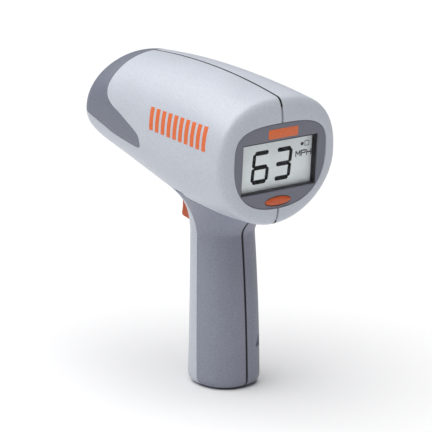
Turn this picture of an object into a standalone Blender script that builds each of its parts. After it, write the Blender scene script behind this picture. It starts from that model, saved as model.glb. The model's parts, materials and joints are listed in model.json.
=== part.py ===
"""Hand-held speed radar gun: a two-half body on a battery handle, built from its separate pieces.

Shapes are worked out in millimetres from the middle of the rear face's foot: x is to the gun's right,
y runs forward from the rear face to the nose, and z runs up from the flat base of the handle.
world() turns them into metres, with the object's own box centred on x and y.
"""

import math

import bmesh
import bpy
from mathutils import Matrix, Vector

MM = 0.001

# Body: a barrel with a flat rear face and a blunt, domed nose.
LENGTH = 152.0
REAR_HALF_WIDTH = 54.2
SIDE_TAPER = 0.0742
TOP_HEIGHT = 212.5
TOP_CROWN_AT = 98.4
TOP_CROWN = 0.00129
BELLY_HEIGHT = 116.2
BELLY_RISE_FROM = 48.5
BELLY_RISE = 0.349
BELLY_BEND = 2.5
NOSE_TIP_HEIGHT = 174.2
NOSE_POWER = 2.4
NOSE_STARTS = {"top": 125.1, "belly": 128.0, "side": 136.7}
REAR_EDGE_DEPTH = 6.5
REAR_EDGE_POWER = 2.4
REAR_EDGE_INSET = {"top": 17.9, "belly": 11.0, "side": 13.4}

# Handle: an oval grip that leans forward and flares into the belly.
HANDLE_POWER = 2.31
HANDLE_FOOT_RADIUS = 6.0
FLARE_FROM = 101.6
HANDLE_TOP = 133.0
FLARE_REAR_REACH = 27.0

# Walls and gaps.
BODY_WALL = 2.3
REAR_WALL = 2.4
HANDLE_WALL = 2.2
CAP_WALL = 3.6
CAP_LIP = 2.6
GAP = 0.3
HALF_SEAM = 0.15
GRIP_SEAM = 0.45

# Display.
BEZEL_HALF_WIDTH = 42.2
BEZEL_WIDEST_AT = 163.0
BEZEL_ABOVE = 21.7
BEZEL_BELOW = 34.7
WINDOW_SIZE = (67.6, 32.2)
WINDOW_CENTRE = 156.8
BUTTON_CENTRE = 132.9
BUTTON_HALF = (11.7, 2.8)

# Trigger and its pivot, in the (y, z) plane.
PIVOT = (80.0, 135.5)
TRIGGER_HALF_WIDTH = 6.0

# Radar unit.
HORN_AXIS_HEIGHT = 174.2
HORN_THROAT = (62.0, 6.5)
HORN_MOUTH = (112.0, 31.0)

# Battery bay.
CELL_RADIUS = 13.1
CELL_LENGTH = 49.5
CELL_FLOOR = 7.0

# Screws that close the two halves: (y, z) of each axis and the boss radius.
HOUSING_SCREWS = [
    (21.0, 189.0, 4.2),
    (84.0, 198.5, 4.2),
    (97.0, 142.0, 4.2),
    (22.0, 133.2, 4.0),
    (60.0, 16.0, 2.9),
]
BOARD_SCREWS = [(-30.0, 177.6), (30.0, 177.6), (-21.0, 135.6), (21.0, 135.6)]
MAIN_BOARD_POSTS = [(-28.0, 24.0), (-28.0, 53.0)]
BRACKET_SCREWS = [(62.0, 141.0), (85.0, 142.0)]


# ---------------------------------------------------------------- meshes and booleans


def world(x, y, z):
    return Vector((x * MM, (y - LENGTH / 2) * MM, z * MM))


def add_object(name, points, faces):
    """A closed mesh object from millimetre points, with its faces turned outward."""
    mesh = bpy.data.meshes.new(name)
    mesh.from_pydata([world(*point) for point in points], [], faces)
    shape = bmesh.new()
    shape.from_mesh(mesh)
    bmesh.ops.recalc_face_normals(shape, faces=shape.faces)
    shape.to_mesh(mesh)
    shape.free()
    obj = bpy.data.objects.new(name, mesh)
    bpy.context.scene.collection.objects.link(obj)
    return obj


def loft(name, rings):
    """A solid through rings of equal point count, closed by a flat face at each end."""
    count = len(rings[0])
    points = [point for ring in rings for point in ring]
    faces = [list(range(count)), list(range(len(points) - count, len(points)))]
    for row in range(len(rings) - 1):
        for i in range(count):
            j = (i + 1) % count
            a = row * count
            faces.append([a + i, a + j, a + count + j, a + count + i])
    return add_object(name, points, faces)


def prism(name, outline, axis, low, high):
    """A solid from an outline of the two other coordinates, extruded along one axis."""

    def point(pair, along):
        values = list(pair)
        values.insert("xyz".index(axis), along)
        return tuple(values)

    return loft(name, [[point(pair, low) for pair in outline], [point(pair, high) for pair in outline]])


def box(name, low, high):
    outline = [(low[0], low[1]), (high[0], low[1]), (high[0], high[1]), (low[0], high[1])]
    return prism(name, outline, "z", low[2], high[2])


def circle(centre, radius, sides=16):
    turns = [2 * math.pi * (i + 0.5) / sides for i in range(sides)]
    return [(centre[0] + radius * math.cos(t), centre[1] + radius * math.sin(t)) for t in turns]


def superellipse(angle, half_a, half_b, power):
    c, s = math.cos(angle), math.sin(angle)
    a = half_a * math.copysign(abs(c) ** (2 / power), c)
    return a, half_b * math.copysign(abs(s) ** (2 / power), s)


def oval(centre, half_a, half_b, power, sides):
    turns = [2 * math.pi * i / sides for i in range(sides)]
    pairs = [superellipse(t, half_a, half_b, power) for t in turns]
    return [(centre[0] + a, centre[1] + b) for a, b in pairs]


def smooth_through(points, steps):
    """Catmull-Rom points through a short open list."""
    ends = [points[0]] + list(points) + [points[-1]]
    out = []
    for a, b, c, d in zip(ends, ends[1:], ends[2:], ends[3:]):
        for step in range(steps):
            t = step / steps
            weights = (
                (-t + 2 * t**2 - t**3) / 2,
                (2 - 5 * t**2 + 3 * t**3) / 2,
                (t + 4 * t**2 - 3 * t**3) / 2,
                (-(t**2) + t**3) / 2,
            )
            out.append(tuple(sum(w * p[i] for w, p in zip(weights, (a, b, c, d))) for i in range(len(a))))
    return out + [tuple(points[-1])]


def combine(target, tool, operation, keep_tool=False):
    """Applies one exact Boolean to target and drops the tool."""
    modifier = target.modifiers.new(operation.lower(), "BOOLEAN")
    modifier.operation = operation
    modifier.solver = "EXACT"
    modifier.object = tool
    graph = bpy.context.evaluated_depsgraph_get()
    result = bpy.data.meshes.new_from_object(target.evaluated_get(graph))
    target.modifiers.remove(modifier)
    old = target.data
    target.data = result
    result.name = target.name
    bpy.data.meshes.remove(old)
    if not keep_tool:
        bpy.data.objects.remove(tool)
    return target


def cut(target, tool, keep_tool=False):
    return combine(target, tool, "DIFFERENCE", keep_tool)


def keep(target, tool, keep_tool=False):
    return combine(target, tool, "INTERSECT", keep_tool)


def join(target, tool, keep_tool=False):
    return combine(target, tool, "UNION", keep_tool)


def copy_of(obj, name):
    twin = bpy.data.objects.new(name, obj.data.copy())
    bpy.context.scene.collection.objects.link(twin)
    return twin


def finish(obj, colour, roughness=0.5, metallic=0.0):
    """Gives a sub-part its own material and smooth round faces, and cleans up after the Booleans."""
    shape = bmesh.new()
    shape.from_mesh(obj.data)
    bmesh.ops.remove_doubles(shape, verts=shape.verts, dist=0.002 * MM)
    bmesh.ops.dissolve_degenerate(shape, edges=shape.edges, dist=0.002 * MM)
    shape.to_mesh(obj.data)
    shape.free()
    material = bpy.data.materials.new(obj.name)
    material.use_nodes = True
    shader = material.node_tree.nodes["Principled BSDF"]
    shader.inputs["Base Color"].default_value = (*colour, 1.0)
    shader.inputs["Roughness"].default_value = roughness
    shader.inputs["Metallic"].default_value = metallic
    obj.data.materials.clear()
    obj.data.materials.append(material)
    obj.data.shade_smooth()
    obj.data.set_sharp_from_angle(angle=math.radians(32))
    return obj


def set_origin(obj, point):
    """Moves an object's origin to a world point, leaving its shape where it is."""
    obj.data.transform(Matrix.Translation(-point))
    obj.location = point


# ---------------------------------------------------------------- outer forms


def body_section(y, inset):
    """Half-width, top and bottom height of the body at station y, shrunk all round by inset."""
    rear = max(inset, 0.0)
    tip = LENGTH - inset

    def closing(side):
        start = NOSE_STARTS[side]
        reach = min(max((y - start) / (tip - start), 0.0), 1.0)
        return (1 - reach**NOSE_POWER) ** (1 / NOSE_POWER)

    near = min(max(1 - (y - rear) / REAR_EDGE_DEPTH, 0.0), 1.0)
    rounding = 1 - (1 - near**REAR_EDGE_POWER) ** (1 / REAR_EDGE_POWER)
    rise = BELLY_RISE * BELLY_BEND * math.log1p(math.exp((y - BELLY_RISE_FROM) / BELLY_BEND))
    top = TOP_HEIGHT - TOP_CROWN * (y - TOP_CROWN_AT) ** 2 - inset
    belly = BELLY_HEIGHT + rise + inset
    top = NOSE_TIP_HEIGHT + (top - NOSE_TIP_HEIGHT) * closing("top") - rounding * REAR_EDGE_INSET["top"]
    belly = NOSE_TIP_HEIGHT + (belly - NOSE_TIP_HEIGHT) * closing("belly")
    side = (REAR_HALF_WIDTH - SIDE_TAPER * y - inset) * closing("side")
    belly += rounding * REAR_EDGE_INSET["belly"]
    return side - rounding * REAR_EDGE_INSET["side"], top, belly


def body_ring(y, inset, sides):
    side, top, belly = body_section(y, inset)
    along = y / LENGTH
    widest = belly + (0.513 - 0.102 * along) * (top - belly)
    ring = []
    for i in range(sides):
        turn = 2 * math.pi * (i + 0.5) / sides
        upper = math.sin(turn) > 0
        power = 2.52 - 0.50 * along if upper else 1.92 + 0.31 * along
        x, z = superellipse(turn, side, top - widest if upper else widest - belly, power)
        ring.append((x, y, widest + z))
    return ring


def body_solid(name, inset, sides=36, stations=12):
    """The body's outer form, or the same form shrunk by inset; a negative inset grows it."""
    rear = max(inset, 0.0)
    edge = [rear + REAR_EDGE_DEPTH * (1 - math.sin(math.radians(a)) ** 0.68) for a in (90, 66, 44, 24, 10)]
    tip = LENGTH - inset - 0.02
    start = rear + REAR_EDGE_DEPTH
    barrel = [start + (tip - start) * math.sin(math.pi / 2 * i / stations) for i in range(stations + 1)]
    return loft(name, [body_ring(y, inset, sides) for y in edge + barrel])


def handle_section(z, inset, flared=True):
    """Rear y, front y and half-width of the handle at height z, shrunk all round by inset."""
    s = z / 100
    rear = 19.9 + 7.3 * s + 3.9 * s * s + inset
    front = 64.5 + 1.65 * s + 2.25 * s * s - inset
    side = 23.75 - 0.5 * s - 0.95 * s * s - inset
    above = max(z - FLARE_FROM, 0.0)
    if flared:
        rear -= FLARE_REAR_REACH * (1 - math.exp(-0.066 * above**2 / FLARE_REAR_REACH))
        front += 8.7 * (above / 32) ** 4.68
        side += 25.0 * (above / 38) ** 1.675
    low = z - inset * 1.1
    foot = HANDLE_FOOT_RADIUS - math.sqrt(HANDLE_FOOT_RADIUS**2 - max(HANDLE_FOOT_RADIUS - low, 0.0) ** 2)
    return rear + foot, front - foot, side - foot


def handle_ring(z, inset, flared, sides):
    rear, front, side = handle_section(z, inset, flared)
    pairs = oval((0.0, (rear + front) / 2), side, (front - rear) / 2, HANDLE_POWER, sides)
    return [(x, y, z) for x, y in pairs]


def handle_solid(name, inset, flared=True, sides=32, top=HANDLE_TOP):
    floor = inset * 1.1
    heights = [floor + h for h in (0.0, 0.5, 1.8, 3.6, HANDLE_FOOT_RADIUS)] + [30.0, 60.0, FLARE_FROM]
    heights += [106.0, 110.0, 114.0, 118.0, 122.0, 125.0, 128.0, 130.6] if flared else []
    return loft(name, [handle_ring(z, inset, flared, sides) for z in heights + [top]])


def grip_front_edge(z):
    """y of the vertical line on the handle's side where the light front meets the dark grip."""
    return 43.6 + 0.075 * z + 0.005 * max(z - 105.0, 0.0) ** 2


def grip_front_cutter(name, shift, ahead):
    """Everything ahead of the grip's front edge, or everything behind it."""
    line = [(grip_front_edge(z) + shift, z) for z in (-5.0, 60.0, 105.0, 112.0, 119.0, 126.0, 133.0, 140.0)]
    far = 140.0 if ahead else -30.0
    return prism(name, line + [(far, 140.0), (far, -5.0)], "x", -70.0, 70.0)


def nose_cap_outline(grow):
    """Side view of the dark nose cap: a visor whose lower corner sweeps back along the side."""
    edge = [
        (122.0, 216.0),
        (122.2, 211.0),
        (123.2, 206.6),
        (123.9, 201.0),
        (124.4, 195.3),
        (123.7, 190.0),
        (120.9, 185.0),
        (114.9, 180.5),
        (105.6, 176.5),
        (97.5, 172.5),
        (89.6, 168.3),
        (85.0, 165.0),
        (83.8, 160.5),
        (84.0, 157.2),
        (86.5, 156.6),
        (91.6, 157.0),
        (100.1, 158.7),
        (112.0, 161.5),
        (123.7, 166.0),
        (132.6, 169.2),
        (140.0, 171.6),
        (156.0, 176.5),
    ]
    line = smooth_through(edge, 2)
    grown = []
    for before, here, after in zip([line[0]] + line, line, line[1:] + [line[-1]]):
        dy, dz = after[0] - before[0], after[1] - before[1]
        size = math.hypot(dy, dz)
        grown.append((here[0] + grow * dz / size, here[1] - grow * dy / size))
    return grown + [(170.0, 177.0), (170.0, 225.0), (grown[0][0], 225.0)]


# ---------------------------------------------------------------- housing, nose cap and grips


def inner_space(name, wall):
    """The hollow inside the body and handle, leaving the belly as a wall above the flare."""
    space = body_solid(name, wall, 26, 9)
    flare = handle_solid("flare_hollow", HANDLE_WALL, True, 24)
    keep(flare, grip_front_cutter("flare_front", -1.0, True))
    cut(flare, body_solid("belly_wall", -0.5))
    join(space, flare)
    return join(space, handle_solid("core_hollow", HANDLE_WALL + 0.15, False, 24, 126.0))


def trigger_slot(name):
    """The opening in the flare and belly that the trigger comes out of."""
    half = TRIGGER_HALF_WIDTH + 0.5
    outline = [(60.0, 99.6), (90.0, 99.6), (87.0, 133.5), (68.6, 133.5), (60.0, 122.0)]
    return prism(name, outline, "x", -half, half)


def housing_shell():
    shell = body_solid("housing", 0.0)
    front = handle_solid("handle_front", 0.0)
    keep(front, grip_front_cutter("front_half", GAP / 2, True))
    join(shell, front)
    cut(shell, inner_space("inside", BODY_WALL))
    cut(shell, trigger_slot("slot"))
    cut(shell, prism("cap_opening", nose_cap_outline(GAP), "x", -70.0, 70.0))
    cut(shell, prism("bezel_opening", bezel_outline(GAP, 40), "y", -5.0, 9.0))
    return cut(shell, prism("flange_room", bezel_outline(1.0 + GAP, 40), "y", REAR_WALL + GAP, 9.0))


def half_of(shell, name, side):
    low, high = sorted((side * HALF_SEAM, side * 70.0))
    return keep(copy_of(shell, name), box("half", (low, -5.0, -5.0), (high, 160.0, 220.0)))


def add_boss(half, side, y, z, radius, start=HALF_SEAM, inset=0.7):
    """A round boss from the parting plane out to the wall, cut to the body's own form."""
    low, high = sorted((side * start, side * 60.0))
    boss = prism("boss", circle((y, z), radius, 12), "x", low, high)
    skin = handle_solid("skin", inset) if z < 100.0 else body_solid("skin", inset, 26, 9)
    keep(boss, skin)
    return join(half, boss)


def add_horn_rib(half, side):
    """A ring rib that cradles the horn near its mouth."""
    low, high = sorted((side * HALF_SEAM, side * 60.0))
    rib = box("rib", (low, 101.0, 120.0), (high, 103.0, 215.0))
    keep(rib, body_solid("rib_edge", 0.9, 26, 9))
    cut(rib, prism("rib_hole", circle((0.0, HORN_AXIS_HEIGHT), 29.2, 24), "y", 98.0, 106.0))
    cut(rib, prism("rib_cap_gap", nose_cap_outline(CAP_WALL), "x", -70.0, 70.0))
    return join(half, rib)


def left_housing(shell):
    half = half_of(shell, "left_housing", -1)
    add_horn_rib(half, -1)
    for y, z, radius in HOUSING_SCREWS:
        add_boss(half, -1, y, z, radius)
    for y, z in BRACKET_SCREWS:
        add_boss(half, -1, y, z, 3.0, 8.9)
    for x, y in MAIN_BOARD_POSTS:
        post = prism("post", circle((x, y), 3.2, 12), "z", 105.0, 150.0)
        keep(post, body_solid("skin", 0.7, 26, 9))
        join(half, post)
        cut(half, prism("pilot", circle((x, y), 1.4, 10), "z", 140.0, 151.0))
    for y, z, radius in HOUSING_SCREWS:
        cut(half, prism("pilot", circle((y, z), 1.6, 10), "x", -13.0, 1.0))
    for y, z in BRACKET_SCREWS:
        cut(half, prism("pilot", circle((y, z), 1.4, 10), "x", -18.0, -8.0))
    return half


def right_housing(shell):
    half = half_of(shell, "right_housing", 1)
    add_horn_rib(half, 1)
    for y, z, radius in HOUSING_SCREWS:
        add_boss(half, 1, y, z, radius)
    for y, z, radius in HOUSING_SCREWS:
        cut(half, prism("clearance", circle((y, z), 1.6, 10), "x", -1.0, 9.0))
        cut(half, prism("counterbore", circle((y, z), radius - 1.1, 12), "x", 5.0, 60.0))
    return half


def nose_cap():
    cap = body_solid("nose_cap", 0.0)
    keep(cap, prism("cap_side", nose_cap_outline(0.0), "x", -70.0, 70.0))
    lip = body_solid("lip", CAP_LIP, 26, 9)
    keep(lip, prism("lip_side", nose_cap_outline(3.0), "x", -70.0, 70.0))
    join(cap, lip)
    return cut(cap, body_solid("cap_hollow", CAP_WALL, 26, 9))


def grip_shell(name, side, seam):
    """One rear quarter of the handle, from the rear seam round to the light front."""
    grip = handle_solid(name, 0.0)
    low, high = sorted((side * seam, side * 60.0))
    keep(grip, box("quarter", (low, -5.0, -5.0), (high, 100.0, 140.0)))
    keep(grip, grip_front_cutter("behind", -GAP / 2, False))
    cut(grip, body_solid("belly", -GAP))
    cut(grip, handle_solid("grip_hollow", HANDLE_WALL, True, 24))
    return grip


def battery_door():
    """The right-hand grip comes off: it has a finger notch low on its rear face and two locating tabs."""
    door = grip_shell("battery_door", 1, GRIP_SEAM)
    ends = ((25.5, 26.2), (35.0, 21.5))
    notch = loft("notch", [[(8.0, 10.0, z), (17.0, 10.0, z), (17.0, y, z), (8.0, y, z)] for z, y in ends])
    pocket = handle_solid("notch_back", -0.6 + HANDLE_WALL - 0.2)
    cut(notch, pocket)
    cut(door, notch)
    for z in (38.0, 84.0):
        inner_side = handle_section(z + 7.0, HANDLE_WALL)[2]
        rear, front = 36.0 + 0.1 * z - 3.0, grip_front_edge(z) + 2.6
        tongue = box("tongue", (inner_side - 2.1, rear, z), (inner_side - 0.6, front, z + 7.0))
        join(tongue, box("root", (inner_side - 1.2, rear, z + 0.5), (inner_side + 0.9, rear + 5.0, z + 6.5)))
        join(door, tongue)
    return door


# ---------------------------------------------------------------- display


def bezel_outline(grow, sides):
    outline = []
    for i in range(sides):
        turn = 2 * math.pi * i / sides
        upper = math.sin(turn) >= 0
        reach = BEZEL_ABOVE if upper else BEZEL_BELOW
        x, z = superellipse(turn, BEZEL_HALF_WIDTH + grow, reach + grow, 3.3 if upper else 2.45)
        outline.append((x, BEZEL_WIDEST_AT + z))
    return outline


def window_box(name, grow, y_low, y_high):
    half_x, half_z = WINDOW_SIZE[0] / 2 + grow, WINDOW_SIZE[1] / 2 + grow
    return box(name, (-half_x, y_low, WINDOW_CENTRE - half_z), (half_x, y_high, WINDOW_CENTRE + half_z))


def display_bezel():
    bezel = prism("display_bezel", bezel_outline(0.0, 40), "y", 0.5, 4.2)
    join(bezel, prism("flange", bezel_outline(1.0, 40), "y", REAR_WALL + 2 * GAP, 4.3))
    for x, z in BOARD_SCREWS:
        join(bezel, prism("post", circle((x, z), 2.3, 10), "y", 3.0, 11.2))
        cut(bezel, prism("pilot", circle((x, z), 1.1, 8), "y", 6.0, 12.0))
    cut(bezel, window_box("window_hole", 1.0, -1.0, 12.0))
    half_a, half_b = BUTTON_HALF
    opening = oval((0.0, BUTTON_CENTRE), half_a + 0.35, half_b + 0.35, 2.0, 28)
    return cut(bezel, prism("button_hole", opening, "y", -1.0, 6.0))


def lcd_frame():
    """The black holder round the glass, with a thin collar that lines the bezel's opening."""
    frame = window_box("lcd_frame", 0.6, 1.2, 9.0)
    join(frame, window_box("skirt", 2.0, 4.6, 9.01))
    cut(frame, window_box("view", 0.0, 0.0, 4.9))
    cut(frame, window_box("pocket", 0.9, 4.85, 10.0))
    return frame


def display_window():
    return window_box("display_window", -0.3, 4.0, 4.7)


def lcd_glass():
    return window_box("lcd_glass", 0.5, 5.1, 7.3)


def elastomer_strip(name, z):
    return box(name, (-30.0, 7.6, z - 1.2), (30.0, 11.2, z + 1.2))


def display_board():
    left_edge = [(-33.0, 181.0), (-36.0, 174.0), (-36.0, 139.0), (-25.0, 131.0)]
    outline = left_edge + [(-x, z) for x, z in reversed(left_edge)]
    board = prism("display_board", outline, "y", 11.5, 13.1)
    for x, z in BOARD_SCREWS:
        cut(board, prism("hole", circle((x, z), 1.4, 10), "y", 10.0, 14.0))
    return board


def power_button():
    half_a, half_b = BUTTON_HALF
    rings = []
    for y, shrink in ((-0.35, 1.1), (-0.15, 0.45), (0.3, 0.0), (4.8, 0.0)):
        pairs = oval((0.0, BUTTON_CENTRE), half_a - shrink, half_b - shrink, 2.0, 28)
        rings.append([(x, y, z) for x, z in pairs])
    button = loft("power_button", rings)
    flange = oval((0.0, BUTTON_CENTRE), half_a + 1.4, half_b + 1.3, 2.0, 24)
    join(button, prism("flange", flange, "y", 4.65, 5.7))
    join(button, prism("stem", circle((0.0, BUTTON_CENTRE), 1.6, 10), "y", 5.6, 7.0))
    set_origin(button, world(0.0, 0.0, BUTTON_CENTRE))
    return button


def power_button_switch():
    switch = box("power_button_switch", (-3.0, 9.2, BUTTON_CENTRE - 3.0), (3.0, 11.2, BUTTON_CENTRE + 2.6))
    return join(switch, prism("nub", circle((0.0, BUTTON_CENTRE), 1.5, 10), "y", 8.2, 9.3))


# ---------------------------------------------------------------- electronics and radar unit


def main_board():
    board = box("main_board", (-33.5, 17.0, 150.3), (33.5, 59.0, 151.9))
    for x, y in MAIN_BOARD_POSTS:
        cut(board, prism("hole", circle((x, y), 1.6, 10), "z", 149.0, 153.0))
    return board


def chip(name, low, size, legs=6):
    """A chip body with a row of leg blocks along two sides, as one solid."""
    x, y, z = low
    part = box(name, (x, y, z + 0.3), (x + size[0], y + size[1], z + size[2]))
    pitch = size[1] / legs
    for i in range(legs):
        start = y + pitch * (i + 0.25)
        join(part, box("leg", (x - 0.9, start, z), (x + size[0] + 0.9, start + pitch / 2, z + 0.7)))
    return part


def buzzer():
    part = prism("buzzer", circle((24.0, 30.0), 6.0, 20), "z", 152.2, 157.4)
    return cut(part, prism("sound_hole", circle((24.0, 30.0), 1.2, 8), "z", 155.0, 158.0))


def ribbon_cable():
    outline = [(13.4, 153.2), (13.4, 163.0), (13.7, 163.0), (13.7, 153.5), (22.0, 153.5), (22.0, 153.2)]
    return prism("ribbon_cable", outline, "x", -12.0, 12.0)


def ribbon_connector():
    return box("ribbon_connector", (-13.5, 22.3, 152.2), (13.5, 26.5, 155.2))


def horn_ring(y, radius, sides=28):
    return [(x, y, z) for x, z in circle((0.0, HORN_AXIS_HEIGHT), radius, sides)]


def horn_antenna():
    (throat_y, throat_r), (mouth_y, mouth_r) = HORN_THROAT, HORN_MOUTH
    wall = 1.1
    outside = [(throat_y - 3.2, throat_r + wall), (throat_y, throat_r + wall), (mouth_y, mouth_r + wall)]
    horn = loft("horn_antenna", [horn_ring(y, r) for y, r in outside])
    low = (-14.0, throat_y - 3.2, HORN_AXIS_HEIGHT - 13.0)
    high = (14.0, throat_y - 0.4, HORN_AXIS_HEIGHT + 13.0)
    join(horn, box("flange", low, high))
    inside = [(throat_y - 5.0, throat_r), (throat_y, throat_r), (mouth_y - 3.0, mouth_r - 1.4)]
    cut(horn, loft("horn_hollow", [horn_ring(y, r) for y, r in inside]))
    cut(horn, loft("lens_seat", [horn_ring(mouth_y - 3.1, mouth_r - 0.5), horn_ring(mouth_y + 1.0, mouth_r)]))
    for x, z in flange_holes():
        cut(horn, prism("hole", circle((x, z), 1.6, 8), "y", throat_y - 5.0, throat_y + 1.0))
    return horn


def flange_holes():
    return [(sx * 10.5, HORN_AXIS_HEIGHT + sz * 9.8) for sx in (-1, 1) for sz in (-1, 1)]


def horn_lens():
    mouth_y, mouth_r = HORN_MOUTH
    bulge = [(mouth_y - 2.7, mouth_r - 0.9), (mouth_y - 0.4, mouth_r - 0.5)]
    turns = (0.3, 0.7, 1.1, 1.5)
    bulge += [(mouth_y - 0.4 + 4.6 * math.sin(t), (mouth_r - 1.0) * math.cos(t)) for t in turns]
    return loft("horn_lens", [horn_ring(y, r) for y, r in bulge])


def transceiver_housing():
    """The oscillator and mixer block behind the horn, open at the top for its cover."""
    centre = HORN_AXIS_HEIGHT
    block = box("transceiver_housing", (-15.0, 32.0, centre - 13.0), (15.0, 58.5, centre + 13.0))
    cut(block, box("pocket", (-12.0, 35.0, centre - 8.0), (12.0, 53.0, centre + 14.0)))
    cut(block, prism("waveguide", circle((0.0, centre), 5.0, 12), "y", 52.0, 60.0))
    for x, z in flange_holes():
        cut(block, prism("pilot", circle((x, z), 1.3, 8), "y", 53.5, 60.0))
    return block


def transceiver_cover():
    top = HORN_AXIS_HEIGHT + 13.3
    cover = box("transceiver_cover", (-15.0, 32.0, top), (15.0, 58.5, top + 1.5))
    ridge = box("ridge", (-9.0, 38.0, top + 1.0), (9.0, 50.0, top + 2.6))
    return join(cover, ridge)


# ---------------------------------------------------------------- trigger group


def trigger():
    """The finger blade below, a round eye on the pin, and a rear arm that the return spring pushes down."""
    blade = [
        (84.0, 130.0),
        (84.0, 120.0),
        (83.4, 113.0),
        (84.0, 107.6),
        (82.4, 106.2),
        (77.2, 104.8),
        (72.8, 102.9),
        (70.2, 103.5),
        (69.8, 110.0),
        (70.0, 131.5),
        (74.0, 135.5),
        (84.0, 135.5),
    ]
    part = prism("trigger", blade, "x", -TRIGGER_HALF_WIDTH, TRIGGER_HALF_WIDTH)
    arm = [(62.6, 134.1), (76.0, 132.5), (80.0, 133.5), (80.0, 138.5), (62.6, 137.1)]
    join(part, prism("arm", arm, "x", -4.0, 4.0))
    join(part, prism("eye", circle(PIVOT, 4.3, 16), "x", -6.4, 6.4))
    cut(part, prism("bore", circle(PIVOT, 1.8, 14), "x", -8.0, 8.0))
    set_origin(part, world(0.0, *PIVOT))
    return part


def trigger_pin():
    return prism("trigger_pin", circle(PIVOT, 1.5, 14), "x", -8.5, 8.5)


def trigger_bracket():
    outline = [
        (56.6, 114.0),
        (64.8, 114.0),
        (65.4, 125.2),
        (72.0, 128.6),
        (88.0, 134.2),
        (90.0, 136.5),
        (90.0, 147.6),
        (56.6, 147.6),
    ]
    part = prism("trigger_bracket", outline, "x", -8.6, 8.6)
    cut(part, box("channel", (-7.0, 58.2, 100.0), (7.0, 95.0, 145.9)))
    cut(part, prism("pin_hole", circle(PIVOT, 1.8, 14), "x", -9.0, 9.0))
    for y, z in BRACKET_SCREWS:
        cut(part, prism("hole", circle((y, z), 1.6, 10), "x", -9.0, -6.0))
    return part


def trigger_spring():
    """A compression coil between the trigger's rear arm and the bracket's bridge."""
    turns, steps, sides = 4, 10, 4
    low, high, radius, wire = 138.1, 145.3, 2.3, 0.42
    rings = []
    for step in range(turns * steps + 1):
        angle = 2 * math.pi * step / steps
        height = low + wire + (high - low - 2 * wire) * step / (turns * steps)
        ring = []
        for side in range(sides):
            turn = 2 * math.pi * side / sides
            reach = radius + wire * math.cos(turn)
            point = (reach * math.cos(angle), 66.0 + reach * math.sin(angle), height + wire * math.sin(turn))
            ring.append(point)
        rings.append(ring)
    return loft("trigger_spring", rings)


def trigger_switch():
    switch = box("trigger_switch", (-5.0, 58.6, 115.0), (5.0, 65.0, 126.0))
    return join(switch, box("plunger", (-1.5, 64.5, 119.0), (1.5, 66.6, 122.0)))


# ---------------------------------------------------------------- battery bay


def bay_axis(z):
    """y of the cells' common axis at height z; it leans with the handle."""
    return 42.3 + 0.074 * z


def leaning(name, radius, low, high, sides):
    """A round bar along the handle's leaning axis."""
    ends = [[(x, y, z) for x, y in circle((0.0, bay_axis(z)), radius, sides)] for z in (low, high)]
    return loft(name, ends)


def battery_tray():
    """A trough for the cells, open to the rear right where the door comes off."""
    tray = leaning("battery_tray", 15.0, 3.2, 111.6, 24)
    cut(tray, leaning("cells", 13.5, 5.0, 110.0, 24))
    mouth = [(0.0, 42.0), (-3.0, 5.0), (40.0, 5.0), (40.0, 50.0), (16.0, 50.0)]
    cut(tray, prism("mouth", mouth, "z", 6.0, 109.0))
    cut(tray, box("trigger_room", (-8.0, 58.0, 95.5), (8.0, 70.0, 113.0)))
    boss_y, boss_z, boss_radius = HOUSING_SCREWS[-1]
    cut(tray, prism("boss_room", circle((boss_y, boss_z), boss_radius + 0.4, 12), "x", -20.0, 20.0))
    return keep(tray, handle_solid("tray_edge", HANDLE_WALL + 0.45, False, 24, 126.0))


def battery_cell(name, low):
    cell = leaning(name, CELL_RADIUS, low, low + CELL_LENGTH - 2.0, 24)
    return join(cell, leaning("nub", 3.2, low + CELL_LENGTH - 2.5, low + CELL_LENGTH, 12))


def battery_spring():
    """The conical contact under the lower cell."""
    turns, steps, sides = 3, 10, 4
    low, high, wire = 5.3, CELL_FLOOR - GAP, 0.22
    middle = bay_axis(6.0)
    rings = []
    for step in range(turns * steps + 1):
        part = step / (turns * steps)
        angle = 2 * math.pi * step / steps
        radius = 7.0 - 4.0 * part
        height = low + wire + (high - low - 2 * wire) * part
        ring = []
        for side in range(sides):
            turn = 2 * math.pi * side / sides
            reach = radius + wire * math.cos(turn)
            x, y = reach * math.cos(angle), middle + reach * math.sin(angle)
            ring.append((x, y, height + wire * math.sin(turn)))
        rings.append(ring)
    return loft("battery_spring", rings)


def battery_contact():
    top = 110.0
    middle = bay_axis(top)
    plate = box("battery_contact", (-5.0, middle - 5.0, top - 1.2), (5.0, middle + 5.0, top - 0.5))
    return join(plate, box("dimple", (-2.0, middle - 2.0, top - 1.9), (2.0, middle + 2.0, top - 1.1)))


def wire(name, route, radius=0.6, sides=6):
    """An insulated wire along a smooth route."""
    points = [Vector(point) for point in smooth_through(route, 4)]
    rings = []
    for before, here, after in zip([points[0]] + points, points, points[1:] + [points[-1]]):
        along = (after - before).normalized()
        across = along.cross(Vector((0.3, 1.0, 0.1))).normalized()
        upward = along.cross(across)
        turns = [2 * math.pi * i / sides for i in range(sides)]
        rings.append([tuple(here + radius * (math.cos(t) * across + math.sin(t) * upward)) for t in turns])
    return loft(name, rings)


# ---------------------------------------------------------------- fasteners


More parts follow.
